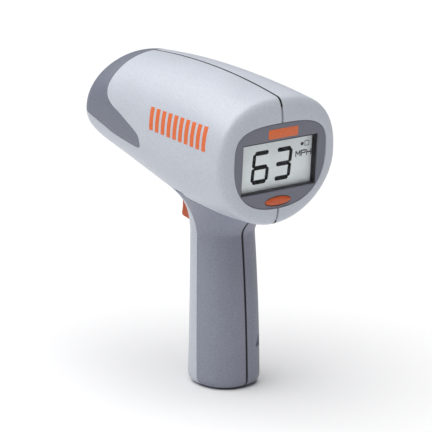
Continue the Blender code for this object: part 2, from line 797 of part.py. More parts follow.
def screw(name, head, direction, length, shank=1.25, head_radius=2.5, head_height=1.7):
    """A pan-head screw with a slot, from the underside of its head along one axis."""
    axis = "xyz".index(direction[-1])
    sign = -1 if direction[0] == "-" else 1
    plane = [head[i] for i in range(3) if i != axis]
    start = head[axis]

    def bar(part, radius, low, high, sides):
        ends = sorted((start + sign * low, start + sign * high))
        return prism(part, circle(plane, radius, sides), "xyz"[axis], *ends)

    part = bar(name, shank, -0.3, length, 8)
    join(part, bar("head", head_radius, -head_height, 0.0, 12))
    low = [value - 0.35 for value in head]
    high = [value + 0.35 for value in head]
    across = 1 if axis == 0 else 0
    low[across] -= 2 * head_radius
    high[across] += 2 * head_radius
    ends = sorted((start - sign * (head_height + 1), start - sign * (head_height - 0.7)))
    low[axis], high[axis] = ends
    return cut(part, box("slot", low, high))


# ---------------------------------------------------------------- assembly

LIGHT_GREY = (0.60, 0.62, 0.66)
DARK_GREY = (0.17, 0.18, 0.23)
BLACK = (0.02, 0.02, 0.022)
ORANGE = (0.62, 0.12, 0.03)
STEEL = (0.55, 0.55, 0.56)
BOARD_GREEN = (0.03, 0.16, 0.07)
RED = (0.5, 0.02, 0.02)


def clear_scene():
    for obj in list(bpy.data.objects):
        bpy.data.objects.remove(obj)


def build_housing():
    shell = housing_shell()
    finish(left_housing(shell), LIGHT_GREY, 0.45)
    finish(right_housing(shell), LIGHT_GREY, 0.45)
    bpy.data.objects.remove(shell)
    finish(nose_cap(), DARK_GREY, 0.45)
    finish(grip_shell("left_grip_panel", -1, GRIP_SEAM), DARK_GREY, 0.55)
    finish(battery_door(), DARK_GREY, 0.55)
    for number, (y, z, radius) in enumerate(HOUSING_SCREWS, 1):
        name = f"housing_screw_{number}"
        head_radius = 1.5 if radius < 3.0 else 2.6
        finish(screw(name, (5.0 + GAP, y, z), "-x", 16.0, 1.25, head_radius), STEEL, 0.3, 1.0)


def build_display():
    finish(display_bezel(), DARK_GREY, 0.4)
    finish(lcd_frame(), BLACK, 0.6)
    finish(display_window(), (0.8, 0.82, 0.82), 0.05)
    finish(lcd_glass(), (0.42, 0.48, 0.44), 0.15)
    finish(elastomer_strip("elastomer_strip_upper", 170.5), BLACK, 0.8)
    finish(elastomer_strip("elastomer_strip_lower", 143.0), BLACK, 0.8)
    finish(display_board(), BOARD_GREEN, 0.5)
    finish(power_button(), ORANGE, 0.45)
    finish(power_button_switch(), BLACK, 0.5)
    for number, (x, z) in enumerate(BOARD_SCREWS, 1):
        name = f"display_board_screw_{number}"
        finish(screw(name, (x, 13.4, z), "-y", 6.0, 0.75, 2.0, 1.2), STEEL, 0.3, 1.0)


def build_electronics():
    finish(main_board(), BOARD_GREEN, 0.5)
    for number, (x, y) in enumerate(MAIN_BOARD_POSTS, 1):
        name = f"main_board_screw_{number}"
        finish(screw(name, (x, y, 152.2), "-z", 8.0, 1.0, 2.4, 1.4), STEEL, 0.3, 1.0)
    finish(chip("processor_chip", (-8.0, 32.0, 152.2), (12.0, 12.0, 1.8)), BLACK, 0.4)
    finish(chip("amplifier_chip", (10.0, 46.0, 152.2), (6.0, 8.0, 1.8), 4), BLACK, 0.4)
    finish(box("oscillator_can", (-22.0, 34.0, 152.2), (-12.0, 38.5, 155.6)), STEEL, 0.3, 1.0)
    finish(buzzer(), BLACK, 0.5)
    finish(ribbon_connector(), (0.75, 0.72, 0.62), 0.5)
    finish(ribbon_cable(), (0.55, 0.32, 0.08), 0.4)


def build_radar():
    finish(horn_antenna(), (0.62, 0.63, 0.65), 0.35, 1.0)
    finish(horn_lens(), (0.85, 0.85, 0.82), 0.5)
    finish(transceiver_housing(), (0.55, 0.56, 0.58), 0.4, 1.0)
    finish(transceiver_cover(), (0.60, 0.60, 0.62), 0.35, 1.0)
    for number, (x, z) in enumerate(flange_holes(), 1):
        name = f"horn_screw_{number}"
        finish(screw(name, (x, HORN_THROAT[0] - 0.1, z), "-y", 6.8, 0.95, 2.2, 1.3), STEEL, 0.3, 1.0)


def build_trigger():
    finish(trigger(), ORANGE, 0.45)
    finish(trigger_pin(), STEEL, 0.25, 1.0)
    finish(trigger_spring(), STEEL, 0.3, 1.0)
    finish(trigger_bracket(), BLACK, 0.55)
    finish(trigger_switch(), (0.05, 0.05, 0.055), 0.5)
    for number, (y, z) in enumerate(BRACKET_SCREWS, 1):
        finish(screw(f"bracket_screw_{number}", (-6.7, y, z), "-x", 9.0, 1.0, 2.2, 1.2), STEEL, 0.3, 1.0)


def build_battery():
    finish(battery_tray(), BLACK, 0.6)
    finish(battery_cell("battery_cell_lower", CELL_FLOOR), (0.10, 0.10, 0.11), 0.35)
    finish(battery_cell("battery_cell_upper", CELL_FLOOR + CELL_LENGTH + GAP), (0.10, 0.10, 0.11), 0.35)
    finish(battery_spring(), STEEL, 0.3, 1.0)
    finish(battery_contact(), STEEL, 0.3, 1.0)
    route = [(5.0, 46.0, 112.2), (8.0, 44.0, 124.0), (14.0, 40.0, 138.0), (14.0, 38.0, 149.8)]
    finish(wire("battery_wire_positive", route), RED, 0.5)
    finish(wire("battery_wire_negative", [(-x, y, z) for x, y, z in route]), BLACK, 0.5)


def main():
    clear_scene()
    build_housing()
    build_display()
    build_electronics()
    build_radar()
    build_trigger()
    build_battery()


if __name__ == "__main__":
    main()
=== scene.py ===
"""Looks of the speed radar gun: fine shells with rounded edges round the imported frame, and its materials.

Shapes are worked out in millimetres in the part's own frame: x to the gun's right, y forward from the
rear face, z up from the handle's foot. build() turns them into metres in the frame's coordinates.
"""

import json
import math

import bpy
import numpy as np
from mathutils import Matrix, Vector


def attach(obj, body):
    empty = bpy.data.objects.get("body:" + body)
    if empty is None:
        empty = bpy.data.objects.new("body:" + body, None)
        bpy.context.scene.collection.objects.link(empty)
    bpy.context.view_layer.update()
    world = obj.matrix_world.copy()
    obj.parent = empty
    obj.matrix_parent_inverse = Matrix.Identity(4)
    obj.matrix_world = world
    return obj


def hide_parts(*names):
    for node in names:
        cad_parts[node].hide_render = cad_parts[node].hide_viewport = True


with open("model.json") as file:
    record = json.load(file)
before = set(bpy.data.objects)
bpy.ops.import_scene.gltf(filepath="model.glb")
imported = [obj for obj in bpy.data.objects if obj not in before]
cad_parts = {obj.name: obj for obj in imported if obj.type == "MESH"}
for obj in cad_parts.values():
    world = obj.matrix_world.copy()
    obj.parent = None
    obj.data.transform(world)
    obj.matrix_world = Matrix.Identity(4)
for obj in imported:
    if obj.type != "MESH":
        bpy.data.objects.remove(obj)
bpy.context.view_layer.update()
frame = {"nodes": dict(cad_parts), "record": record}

MM = 0.001

# Body, as in the part: a barrel with a flat rear face and a blunt, domed nose.
LENGTH = 152.0
REAR_HALF_WIDTH = 54.2
SIDE_TAPER = 0.0742
TOP_HEIGHT = 212.5
TOP_CROWN_AT = 98.4
TOP_CROWN = 0.00129
BELLY_HEIGHT = 116.2
BELLY_RISE_FROM = 48.5
BELLY_RISE = 0.349
BELLY_BEND = 2.5
NOSE_TIP_HEIGHT = 174.2
NOSE_POWER = 2.4
NOSE_STARTS = {"top": 125.1, "belly": 128.0, "side": 136.7}
REAR_EDGE_DEPTH = 6.5
REAR_EDGE_POWER = 2.4
REAR_EDGE_INSET = {"top": 17.9, "belly": 11.0, "side": 13.4}

# The body's section at the rear, and its change to the nose: the share of the height where it is widest,
# and the superellipse powers above and below there.
WIDEST_SHARE = (0.513, -0.102)
UPPER_POWER = (2.52, -0.50)
LOWER_POWER = (1.92, 0.31)

# Handle: an oval grip that leans forward and flares into the belly. Rear, front and half-width are given at
# the foot, with their change per 100 mm of height and per 100 mm squared.
HANDLE_REAR = (19.9, 7.3, 3.9)
HANDLE_FRONT = (64.5, 1.65, 2.25)
HANDLE_SIDE = (23.75, -0.5, -0.95)
HANDLE_POWER = 2.31
HANDLE_FOOT_RADIUS = 6.0
HANDLE_TOP = 133.0

# The flare: how far it goes, over which height, and the power of its growth.
FLARE_FROM = 101.6
FLARE_REAR_GROWTH = 0.066
FLARE_REAR_REACH = 27.0
FLARE_FRONT = (8.7, 32.0, 4.68)
FLARE_SIDE = (25.0, 38.0, 1.675)

# Walls, gaps and the rounding of moulded edges. Where a cut doesn't reach, its clearance is FAR, and a cut
# within the share SNAP of an edge's length from a point goes through that point.
BODY_WALL = 2.3
HANDLE_WALL = 2.2
CAP_LIP = 2.6
BEZEL_DEPTH = 3.7
CAP_GAP = 0.3
HALF_SEAM = 0.92
SEAM_LIP = 0.15
GRIP_SEAM = 0.92
GRIP_GAP = 0.15
BELLY_GAP = 0.12
FAR = 50.0
SNAP = 0.04

# Display, on the rear face.
BEZEL_HALF_WIDTH = 42.2
BEZEL_WIDEST_AT = 163.0
BEZEL_ABOVE = 21.7
BEZEL_BELOW = 34.7
BEZEL_FACE = 0.5
WINDOW_SIZE = (67.6, 32.2)
WINDOW_CENTRE = 156.8
GLASS_FACE = 5.1
BUTTON_CENTRE = 132.9
BUTTON_HALF = (11.7, 2.8)
LABEL_CORNERS = ((-11.9, 175.0), (15.3, 181.3))

# Reading: each digit's left edge, then the digits' foot, size, bar width, bar gap and slant.
READING = (("6", -20.7), ("3", 0.0))
DIGIT_FOOT = 146.6
DIGIT_SIZE = (13.0, 19.0)
DIGIT_BAR = 2.9
DIGIT_GAP = 1.75
DIGIT_SLANT = 0.085
UNIT_CORNER = (19.2, 159.1)
UNIT_LETTER = (3.9, 3.4)
UNIT_PITCH = 5.1
UNIT_STROKE = 0.8

# Trigger.
PIVOT = (80.0, 135.5)
TRIGGER_HALF_WIDTH = 6.0

# Finger notch low on the battery door: its (x, z) centre and half size.
NOTCH_CENTRE = (14.0, 29.2)
NOTCH_HALF = (3.8, 3.7)
NOTCH_DEPTH = 2.6

# Screws that close the two halves: (y, z) of each axis and the radius of its sunk hole.
HOUSING_SCREWS = [
    (21.0, 189.0, 3.1),
    (84.0, 198.5, 3.1),
    (97.0, 142.0, 3.1),
    (22.0, 133.2, 2.9),
    (60.0, 16.0, 1.8),
]
SCREW_FLOOR = 5.0

# Plain slanted bars printed on the left side: the first one's rear edge, and each end's height there.
BAR_COUNT = 10
BAR_PITCH = 5.9
BARS_FROM = 17.2
BARS_LOW = 169.0
BARS_HIGH = 184.4
BAR_LEAN = 2.6

# Light levels, and half the floor's width in metres.
KEY_LEVEL = 1.15
FILL_LEVEL = 0.03
WORLD_LEVEL = 0.12
FLOOR_HALF = 30.0

# Camera: measured from the straight-behind direction towards the gun's left.

CAMERA_AZIMUTH = 45.1
CAMERA_ELEVATION = 14.5
CAMERA_ROLL = 2.74
CAMERA_DISTANCE = 2.001
CAMERA_TARGET = (0.0, -0.0192, 0.1104)
CAMERA_LENS = 250.6


# ---------------------------------------------------------------- outer forms


def body_section(y, inset=0.0):
    """Half-width, top and bottom height of the body at stations y, shrunk all round by inset."""
    y = np.asarray(y, float)
    rear = max(inset, 0.0)
    tip = LENGTH - inset

    def closing(side):
        start = NOSE_STARTS[side]
        reach = np.clip((y - start) / (tip - start), 0.0, 1.0)
        return (1 - reach**NOSE_POWER) ** (1 / NOSE_POWER)

    near = np.clip(1 - (y - rear) / REAR_EDGE_DEPTH, 0.0, 1.0)
    rounding = 1 - (1 - near**REAR_EDGE_POWER) ** (1 / REAR_EDGE_POWER)
    rise = BELLY_RISE * BELLY_BEND * np.log1p(np.exp((y - BELLY_RISE_FROM) / BELLY_BEND))
    top = TOP_HEIGHT - TOP_CROWN * (y - TOP_CROWN_AT) ** 2 - inset
    belly = BELLY_HEIGHT + rise + inset
    top = NOSE_TIP_HEIGHT + (top - NOSE_TIP_HEIGHT) * closing("top")
    belly = NOSE_TIP_HEIGHT + (belly - NOSE_TIP_HEIGHT) * closing("belly")
    side = (REAR_HALF_WIDTH - SIDE_TAPER * y - inset) * closing("side")
    top = top - rounding * REAR_EDGE_INSET["top"]
    belly = belly + rounding * REAR_EDGE_INSET["belly"]
    return side - rounding * REAR_EDGE_INSET["side"], top, belly


def along_body(terms, y):
    return terms[0] + terms[1] * y / LENGTH


def body_widest(y, top, belly):
    return belly + along_body(WIDEST_SHARE, y) * (top - belly)


def body_powers(y):
    """Superellipse powers of the section's upper and lower half."""
    return along_body(UPPER_POWER, y), along_body(LOWER_POWER, y)


def superellipse(turn, half_a, half_b, power):
    c, s = np.cos(turn), np.sin(turn)
    a = half_a * np.sign(c) * np.abs(c) ** (2 / power)
    return a, half_b * np.sign(s) * np.abs(s) ** (2 / power)


def body_ring(y, sides, scale=1.0):
    side, top, belly = body_section(y)
    widest = body_widest(y, top, belly)
    turn = 2 * np.pi * (np.arange(sides) + 0.5) / sides
    upper = np.sin(turn) > 0
    power = np.where(upper, *body_powers(y))
    x, z = superellipse(turn, side, np.where(upper, top - widest, widest - belly), power)
    return np.column_stack([x * scale, np.full(sides, y), widest + z * scale])


def body_half_at(y, z):
    """At (y, z): the section's half-width, the height over its widest line, its half-height and its power."""
    side, top, belly = body_section(y)
    widest = body_widest(y, top, belly)
    half = np.where(z > widest, top - widest, widest - belly)
    return side, z - widest, half, np.where(z > widest, *body_powers(y))


def body_clearance(points, grow=0.0):
    """How far each point is outside the body, roughly; negative inside it."""
    side, height, half, power = body_half_at(np.clip(points[:, 1], 0.0, LENGTH - 0.01), points[:, 2])
    across = np.abs(points[:, 0])
    norm = ((across / side) ** power + (np.abs(height) / half) ** power) ** (1 / power)
    return np.hypot(across, height) * (1 - 1 / np.maximum(norm, 1e-6)) - grow


def body_half_width_at(y, z):
    """x of the body's side at (y, z), or 0 beyond its outline."""
    side, height, half, power = body_half_at(y, z)
    reach = np.clip(np.abs(height) / half, 0.0, 1.0)
    return side * (1 - reach**power) ** (1 / power)


def up_handle(terms, z):
    s = z / 100
    return terms[0] + terms[1] * s + terms[2] * s * s


def flare(terms, above):
    reach, height, power = terms
    return reach * (above / height) ** power


def handle_section(z, inset=0.0):
    """Rear y, front y and half-width of the handle at heights z, shrunk all round by inset."""
    z = np.asarray(z, float)
    above = np.maximum(z - FLARE_FROM, 0.0)
    rear = up_handle(HANDLE_REAR, z) + inset
    rear = rear - FLARE_REAR_REACH * (1 - np.exp(-FLARE_REAR_GROWTH * above**2 / FLARE_REAR_REACH))
    front = up_handle(HANDLE_FRONT, z) - inset + flare(FLARE_FRONT, above)
    side = up_handle(HANDLE_SIDE, z) - inset + flare(FLARE_SIDE, above)
    low = np.maximum(HANDLE_FOOT_RADIUS - (z - inset * 1.1), 0.0)
    foot = HANDLE_FOOT_RADIUS - np.sqrt(np.maximum(HANDLE_FOOT_RADIUS**2 - low**2, 0.0))
    return rear + foot, front - foot, side - foot


def handle_ring(z, sides, scale=1.0):
    rear, front, side = handle_section(z)
    turn = 2 * np.pi * np.arange(sides) / sides
    x, y = superellipse(turn, side * scale, (front - rear) / 2 * scale, HANDLE_POWER)
    return np.column_stack([x, (rear + front) / 2 + y, np.full(sides, z)])


def handle_rear_at(x, z):
    """y of the handle's rear face at (x, z)."""
    rear, front, side = handle_section(z)
    reach = np.clip(np.abs(x) / side, 0.0, 1.0)
    return (rear + front) / 2 - (front - rear) / 2 * (1 - reach**HANDLE_POWER) ** (1 / HANDLE_POWER)


def grip_front_edge(z):
    """y of the line on the handle's side where the light front meets the dark grip."""
    return 43.6 + 0.075 * z + 0.005 * np.maximum(z - 105.0, 0.0) ** 2


def smooth_through(points, steps):
    """Catmull-Rom points through a short open list."""
    knots = np.array([points[0], *points, points[-1]], float)
    out = []
    for a, b, c, d in zip(knots, knots[1:], knots[2:], knots[3:]):
        for t in np.arange(steps) / steps:
            step = (c - a) * t + (2 * a - 5 * b + 4 * c - d) * t**2 + (3 * b - a - 3 * c + d) * t**3
            out.append(b + step / 2)
    return np.array(out + [knots[-1]])


def nose_cap_outline():
    """Side view of the dark nose cap: a visor whose lower corner sweeps back along the side."""
    edge = [
        (122.0, 216.0),
        (122.2, 211.0),
        (123.2, 206.6),
        (123.9, 201.0),
        (124.4, 195.3),
        (123.7, 190.0),
        (120.9, 185.0),
        (114.9, 180.5),
        (105.6, 176.5),
        (97.5, 172.5),
        (89.6, 168.3),
        (85.4, 165.4),
        (84.2, 161.8),
        (84.1, 158.6),
        (86.3, 157.8),
        (91.6, 158.2),
        (100.1, 159.7),
        (112.0, 162.1),
        (123.7, 166.1),
        (132.6, 169.2),
        (140.0, 171.6),
        (156.0, 176.5),
    ]
    corners = [(170.0, 177.0), (170.0, 230.0), (122.0, 230.0)]
    return np.vstack([smooth_through(edge, 8), corners])


def outline_distance(pairs, outline):
    """Signed distance of each pair of coordinates to a closed outline; negative inside it."""
    nearest = np.full(len(pairs), np.inf)
    inside = np.zeros(len(pairs), bool)
    for start, end in zip(outline, np.roll(outline, -1, axis=0)):
        run = end - start
        offset = pairs - start
        along = np.clip(offset @ run / max(run @ run, 1e-12), 0.0, 1.0)
        nearest = np.minimum(nearest, np.hypot(*(offset - along[:, None] * run).T))
        crosses = (start[1] > pairs[:, 1]) != (end[1] > pairs[:, 1])
        if run[1] != 0:
            inside ^= crosses & (pairs[:, 0] < start[0] + run[0] * (pairs[:, 1] - start[1]) / run[1])
    return np.where(inside, -nearest, nearest)


def oval_distance(a, b, half_a, half_b, power):
    """Rough signed distance to a superellipse round the origin; negative inside it."""
    norm = (np.abs(a / half_a) ** power + np.abs(b / half_b) ** power) ** (1 / power)
    return np.hypot(a, b) * (1 - 1 / np.maximum(norm, 1e-6))


def box_distance(values, centres, halves):
    """Signed distance to a box in any number of coordinates; negative inside it."""
    offsets = [np.abs(value - centre) - half for value, centre, half in zip(values, centres, halves)]
    outside = np.sqrt(sum(np.maximum(offset, 0.0) ** 2 for offset in offsets))
    return outside + np.minimum(np.maximum.reduce(offsets), 0.0)


def bezel_distance(points):
    """Signed distance to the bezel's outline in the rear view; negative inside it."""
    x, z = points[:, 0], points[:, 2] - BEZEL_WIDEST_AT
    upper = oval_distance(x, z, BEZEL_HALF_WIDTH, BEZEL_ABOVE, 3.3)
    lower = oval_distance(x, z, BEZEL_HALF_WIDTH, BEZEL_BELOW, 2.45)
    return np.where(z > 0, upper, lower)


# ---------------------------------------------------------------- surfaces: trimmed, lipped and thickened


class Surface:
    """Points, outward normals and faces of a surface, in millimetres."""

    def __init__(self, points, faces, normals=None):
        self.points = np.asarray(points, float)
        self.faces = faces
        self.normals = self.smooth_normals() if normals is None else normals

    def smooth_normals(self):
        total = np.zeros_like(self.points)
        for face in self.faces:
            corners = self.points[list(face)]
            centre = corners.mean(axis=0)
            area = np.cross(corners - centre, np.roll(corners, -1, axis=0) - centre).sum(axis=0)
            total[list(face)] += area
        return total / np.maximum(np.linalg.norm(total, axis=1), 1e-12)[:, None]

    def turned_outward_from(self, centre):
        """The same surface with every face turned, if its faces look towards centre on the whole."""
        if ((self.points - centre) * self.normals).sum() < 0:
            return Surface(self.points, [face[::-1] for face in self.faces])
        return self


def band_faces(rows, count, joined=False):
    """Quads between neighbouring rings of count points, and from the last ring to the first if joined."""
    faces = []
    for row in range(rows if joined else rows - 1):
        a, b = row * count, (row + 1) % rows * count
        for i in range(count):
            j = (i + 1) % count
            faces.append([a + i, a + j, b + j, b + i])
    return faces


def closed_rows(rings, first_cap=True, last_cap=True):
    """A surface through rings of equal point count, closed at an end by a fan to the ring's middle."""
    count = len(rings[0])
    points = np.vstack(rings)
    faces = band_faces(len(rings), count)
    for wanted, row, order in ((first_cap, 0, -1), (last_cap, len(rings) - 1, 1)):
        if wanted:
            middle = len(points)
            points = np.vstack([points, rings[row].mean(axis=0)])
            for i in range(count):
                faces.append([row * count + i, row * count + (i + 1) % count, middle][::order])
    surface = Surface(points, faces)
    return surface.turned_outward_from(points.mean(axis=0))


def trim(surface, clearance):
    """Keeps what has positive clearance, cutting faces along the line of zero clearance."""
    values = clearance(surface.points)
    points, normals = list(surface.points), list(surface.normals)
    crossings = {}

    def crossing(a, b):
        key = (min(a, b), max(a, b))
        if key not in crossings:
            kept, lost = (a, b) if values[a] >= 0 else (b, a)
            share = values[kept] / (values[kept] - values[lost])
            if share < SNAP:
                crossings[key] = kept
            elif share > 1 - SNAP:
                crossings[key] = lost
            else:
                crossings[key] = len(points)
                points.append(points[kept] + share * (points[lost] - points[kept]))
                normal = normals[kept] + share * (normals[lost] - normals[kept])
                normals.append(normal / np.linalg.norm(normal))
        return crossings[key]

    faces = []
    for face in surface.faces:
        kept = [values[i] >= 0 for i in face]
        if all(kept):
            faces.append(face)
        elif any(kept):
            loop = []
            for k, a in enumerate(face):
                after = (k + 1) % len(face)
                if kept[k]:
                    loop.append(a)
                if kept[k] != kept[after]:
                    loop.append(crossing(a, face[after]))
            loop = [a for a, b in zip(loop, loop[1:] + loop[:1]) if a != b]
            if len(set(loop)) > 2 and len(set(loop)) == len(loop):
                faces.append(loop)
    return compacted(np.array(points), np.array(normals), faces)


def compacted(points, normals, faces):
    used = sorted({i for face in faces for i in face})
    place = {old: new for new, old in enumerate(used)}
    return Surface(points[used], [[place[i] for i in face] for face in faces], normals[used])


def thicken(surface, wall, lip, steps=3):
    """A closed shell: the surface, a rounded lip of radius lip round its cut edges, and an inner face."""
    directed = {(a, b) for face in surface.faces for a, b in zip(face, face[1:] + face[:1])}
    border = [(a, b) for a, b in directed if (b, a) not in directed]
    points, normals = surface.points, surface.normals
    count = len(points)
    outward = {}
    for a, b in sorted(border):
        run = points[b] - points[a]
        for i in (a, b):
            outward.setdefault(i, []).append(np.cross(run, normals[i]))
    rim = sorted(outward)
    place = {i: k for k, i in enumerate(rim)}
    reach = []
    for i in rim:
        total = sum(outward[i])
        total = total / max(np.linalg.norm(total), 1e-12)
        slants = [total @ (v / max(np.linalg.norm(v), 1e-12)) for v in outward[i]]
        reach.append(total / max(min(slants), 0.6))
    reach = np.array(reach).reshape(-1, 3)
    edge, down = points[rim], normals[rim]
    angles = [math.pi / 2 * (k + 1) / steps for k in range(steps)]
    rings = [edge + reach * lip * math.sin(a) - down * lip * (1 - math.cos(a)) for a in angles]
    rings.append(edge + reach * lip - down * wall)
    inner = points - normals * wall
    everything = np.vstack([points, inner] + rings)
    faces = list(surface.faces)
    faces += [[count + i for i in reversed(face)] for face in surface.faces]

    def on_ring(row, i):
        return i if row < 0 else 2 * count + row * len(rim) + place[i]

    for a, b in border:
        for row in range(-1, len(rings) - 1):
            faces.append([on_ring(row, b), on_ring(row, a), on_ring(row + 1, a), on_ring(row + 1, b)])
        last = len(rings) - 1
        faces.append([on_ring(last, b), on_ring(last, a), count + a, count + b])
    return everything, faces


def build(name, solids, body, finish, replaced=(), sharp=50.0):
    """A mesh object in the frame's coordinates from closed bodies in millimetres, riding on a body."""
    points, faces = [], []
    for some_points, some_faces in solids:
        start = sum(len(p) for p in points)
        points.append(some_points)
        faces += [[start + i for i in face] for face in some_faces]
    world = (np.vstack(points) - (0.0, LENGTH / 2, 0.0)) * MM
    mesh = bpy.data.meshes.new(name)
    mesh.from_pydata(world.tolist(), [], faces)
    mesh.validate()
    mesh.shade_smooth()
    mesh.set_sharp_from_angle(angle=math.radians(sharp))
    mesh.materials.append(MATERIALS[finish])
    obj = bpy.data.objects.new(name, mesh)
    bpy.context.scene.collection.objects.link(obj)
    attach(obj, body)
    if replaced:
        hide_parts(*replaced)
    return obj


# ---------------------------------------------------------------- fine outer surfaces


def body_surface(sides=200, stations=104):
    start, tip = REAR_EDGE_DEPTH, LENGTH - 0.0004
    disc = [body_ring(0.0, sides, scale) for scale in np.linspace(0.04, 0.97, 34)]
    edge = [REAR_EDGE_DEPTH * (1 - math.sin(a) ** 0.68) for a in np.linspace(math.pi / 2, 0.06, 16)]
    barrel = [start + (tip - start) * math.sin(math.pi / 2 * i / stations) for i in range(stations + 1)]
    return closed_rows(disc + [body_ring(y, sides) for y in edge + barrel])


def handle_surface(sides=144):
    foot = HANDLE_FOOT_RADIUS
    disc = [handle_ring(0.0, sides, scale) for scale in np.linspace(0.05, 0.96, 14)]
    edge = [foot * (1 - math.cos(a)) for a in np.linspace(0.0, math.pi / 2, 10)]
    shaft = [*np.linspace(foot, FLARE_FROM, 54)[1:], *np.linspace(FLARE_FROM, HANDLE_TOP, 34)[1:]]
    return closed_rows(disc + [handle_ring(z, sides) for z in edge + shaft], True, False)


def slot_clearance(points):
    """Distance to the opening that the trigger comes out of."""
    half = TRIGGER_HALF_WIDTH + 0.5 + SEAM_LIP
    outline = np.array([(60.0, 99.6), (92.0, 99.6), (87.4, 133.9), (68.6, 133.9), (60.0, 122.0)])
    side = outline_distance(points[:, 1:], outline)
    return np.maximum(side, np.abs(points[:, 0]) - half)


def screw_clearance(points):
    """Distance to the nearest sunk screw hole on the right."""
    gaps = []
    for y, z, radius in HOUSING_SCREWS:
        gaps.append(np.hypot(points[:, 1] - y, points[:, 2] - z) - radius - SEAM_LIP)
    return np.where(points[:, 0] > 3.0, np.minimum.reduce(gaps), FAR)


def cap_distance(points):
    return outline_distance(points[:, 1:], CAP_OUTLINE)


def with_openings(half, side, wall):
    """A housing half's shell, open for the trigger and, on the right, for the screws."""
    half = trim(half, slot_clearance)
    if side > 0:
        half = trim(half, screw_clearance)
    return thicken(half, wall, SEAM_LIP)


def housing_body(surface, side):
    """One half of the light body."""
    half = trim(surface, lambda p: side * p[:, 0] - HALF_SEAM - SEAM_LIP)
    half = trim(half, lambda p: cap_distance(p) - CAP_GAP - SEAM_LIP)
    half = trim(half, lambda p: np.where(p[:, 1] < 4.0, bezel_distance(p) - CAP_GAP - SEAM_LIP, FAR))
    return with_openings(half, side, BODY_WALL)


def housing_strip(surface, side):
    """One half of the handle's light front, run a little way into the belly that it carries on from."""
    half = trim(surface, lambda p: side * p[:, 0] - HALF_SEAM - SEAM_LIP)
    half = trim(half, lambda p: p[:, 1] - grip_front_edge(p[:, 2]) - GRIP_GAP - SEAM_LIP)
    half = trim(half, lambda p: body_clearance(p, -1.2))
    return with_openings(half, side, HANDLE_WALL)


def x_ring(x, centre, radius, turn):
    """A circle round an axis along x, at x, which may differ from point to point."""
    y, z = centre
    return np.column_stack([x + 0 * turn, y + radius * np.cos(turn), z + radius * np.sin(turn)])


def screw_tube(y, z, radius, thickness=1.1, sides=40):
    """The sunk hole's tube, from just under the outer surface down to the screw's seat."""
    turn = 2 * np.pi * np.arange(sides) / sides

    def under_surface(r, depth):
        ys, zs = y + r * np.cos(turn), z + r * np.sin(turn)
        if z < 100.0:
            rear, front, side = handle_section(zs)
            reach = np.abs(ys - (rear + front) / 2) / ((front - rear) / 2)
            return side * (1 - np.clip(reach, 0, 1) ** HANDLE_POWER) ** (1 / HANDLE_POWER) - depth
        return body_half_width_at(ys, zs) - depth

    outer, inner, hole = radius + thickness, radius, 1.5
    profile = [(outer, SCREW_FLOOR - 1.5), (outer, under_surface(outer, 1.2))]
    profile += [(inner, under_surface(inner, 0.5)), (inner, SCREW_FLOOR)]
    profile += [(hole, SCREW_FLOOR), (hole, SCREW_FLOOR - 1.5)]
    return torus_rows([x_ring(x, (y, z), r, turn) for r, x in profile])


def torus_rows(rings):
    """A closed body through rings that come back to the first one."""
    return outward_solid(np.vstack(rings), band_faces(len(rings), len(rings[0]), True))


def enclosed_volume(points, faces):
    total = 0.0
    for face in faces:
        first = points[face[0]]
        for b, c in zip(face[1:-1], face[2:]):
            total += first @ np.cross(points[b], points[c])
    return total / 6


def outward_solid(points, faces):
    """One closed body for build(), with its faces turned outward."""
    if enclosed_volume(points, faces) < 0:
        faces = [face[::-1] for face in faces]
    return points, faces


def lofted(rings):
    """A closed body through rings, with a flat face at each end."""
    count = len(rings[0])
    points = np.vstack(rings)
    faces = [list(range(count))[::-1], list(range(len(points) - count, len(points)))]
    return outward_solid(points, faces + band_faces(len(rings), count))


def make_housings(body, handle):
    for side, name in ((-1, "left"), (1, "right")):
        solids = [housing_body(body, side), housing_strip(handle, side)]
        if side > 0:
            solids += [screw_tube(*screw) for screw in HOUSING_SCREWS]
        node = f"{name}_housing"
        build(f"{node}_shell", solids, "gun", "light_housing", [node])


def across_towards(along, inside):
    """Unit vectors at right angles to each pair in along, on the side that inside points to on the whole."""
    across = np.column_stack([-along[:, 1], along[:, 0]])
    across /= np.linalg.norm(across, axis=1)[:, None]
    return across if (inside * across).sum() >= 0 else -across


def seam_shadow_bead(ys, zs, middle, half, depth=0.08, thickness=1.4):
    """A dark bead in the parting line, just under the outer surface, along (y, z) points: painted shadow that
    darkens the seam's gap.
    """
    path = np.column_stack([ys, zs])
    rings = []
    for point, into in zip(path, across_towards(np.gradient(path, axis=0), np.array(middle) - path)):
        near, far = point + into * depth, point + into * (depth + thickness)
        rings.append([(-half, *near), (half, *near), (half, *far), (-half, *far)])
    return lofted([np.array(ring) for ring in rings])


def make_seam_shadow_beads():
    """Dark beads that paint the shadow in the seams between the halves, all round the middle plane, and
    between the two grips.
    """
    half = HALF_SEAM - 0.02
    over = np.linspace(1.5, 121.0, 90)
    under_rear = np.linspace(2.0, 22.0, 20)
    round_nose = 140.0 + 11.2 * np.sin(np.linspace(0.05, 1.5, 24))
    under_front = np.concatenate([np.linspace(88.5, 140.0, 40), round_nose])
    heights = np.linspace(4.0, 98.6, 40)
    body_middle = (75.0, NOSE_TIP_HEIGHT)
    handle_middle = (45.0, 50.0)
    # Painted shadow: black beads in the gaps make the seams read dark, as shade would.
    shadow_beads = [seam_shadow_bead(over, body_section(over)[1], body_middle, half)]
    shadow_beads += [seam_shadow_bead(ys, body_section(ys)[2], body_middle, half) for ys in (under_rear, under_front)]
    shadow_beads.append(seam_shadow_bead(handle_section(heights)[1], heights, handle_middle, half))
    heights = np.linspace(3.0, 116.0, 60)
    shadow_beads.append(seam_shadow_bead(handle_section(heights)[0], heights, handle_middle, GRIP_SEAM - 0.02, 0.12))
    build("seam_shadow_strip", shadow_beads, "gun", "elastomer", (), sharp=30.0)


def make_nose_cap(body):
    cap = trim(body, lambda p: -cap_distance(p) - SEAM_LIP)
    solids = [thicken(cap, CAP_LIP, SEAM_LIP)]
    build("nose_cap_shell", solids, "gun", "dark_housing", ["nose_cap"])


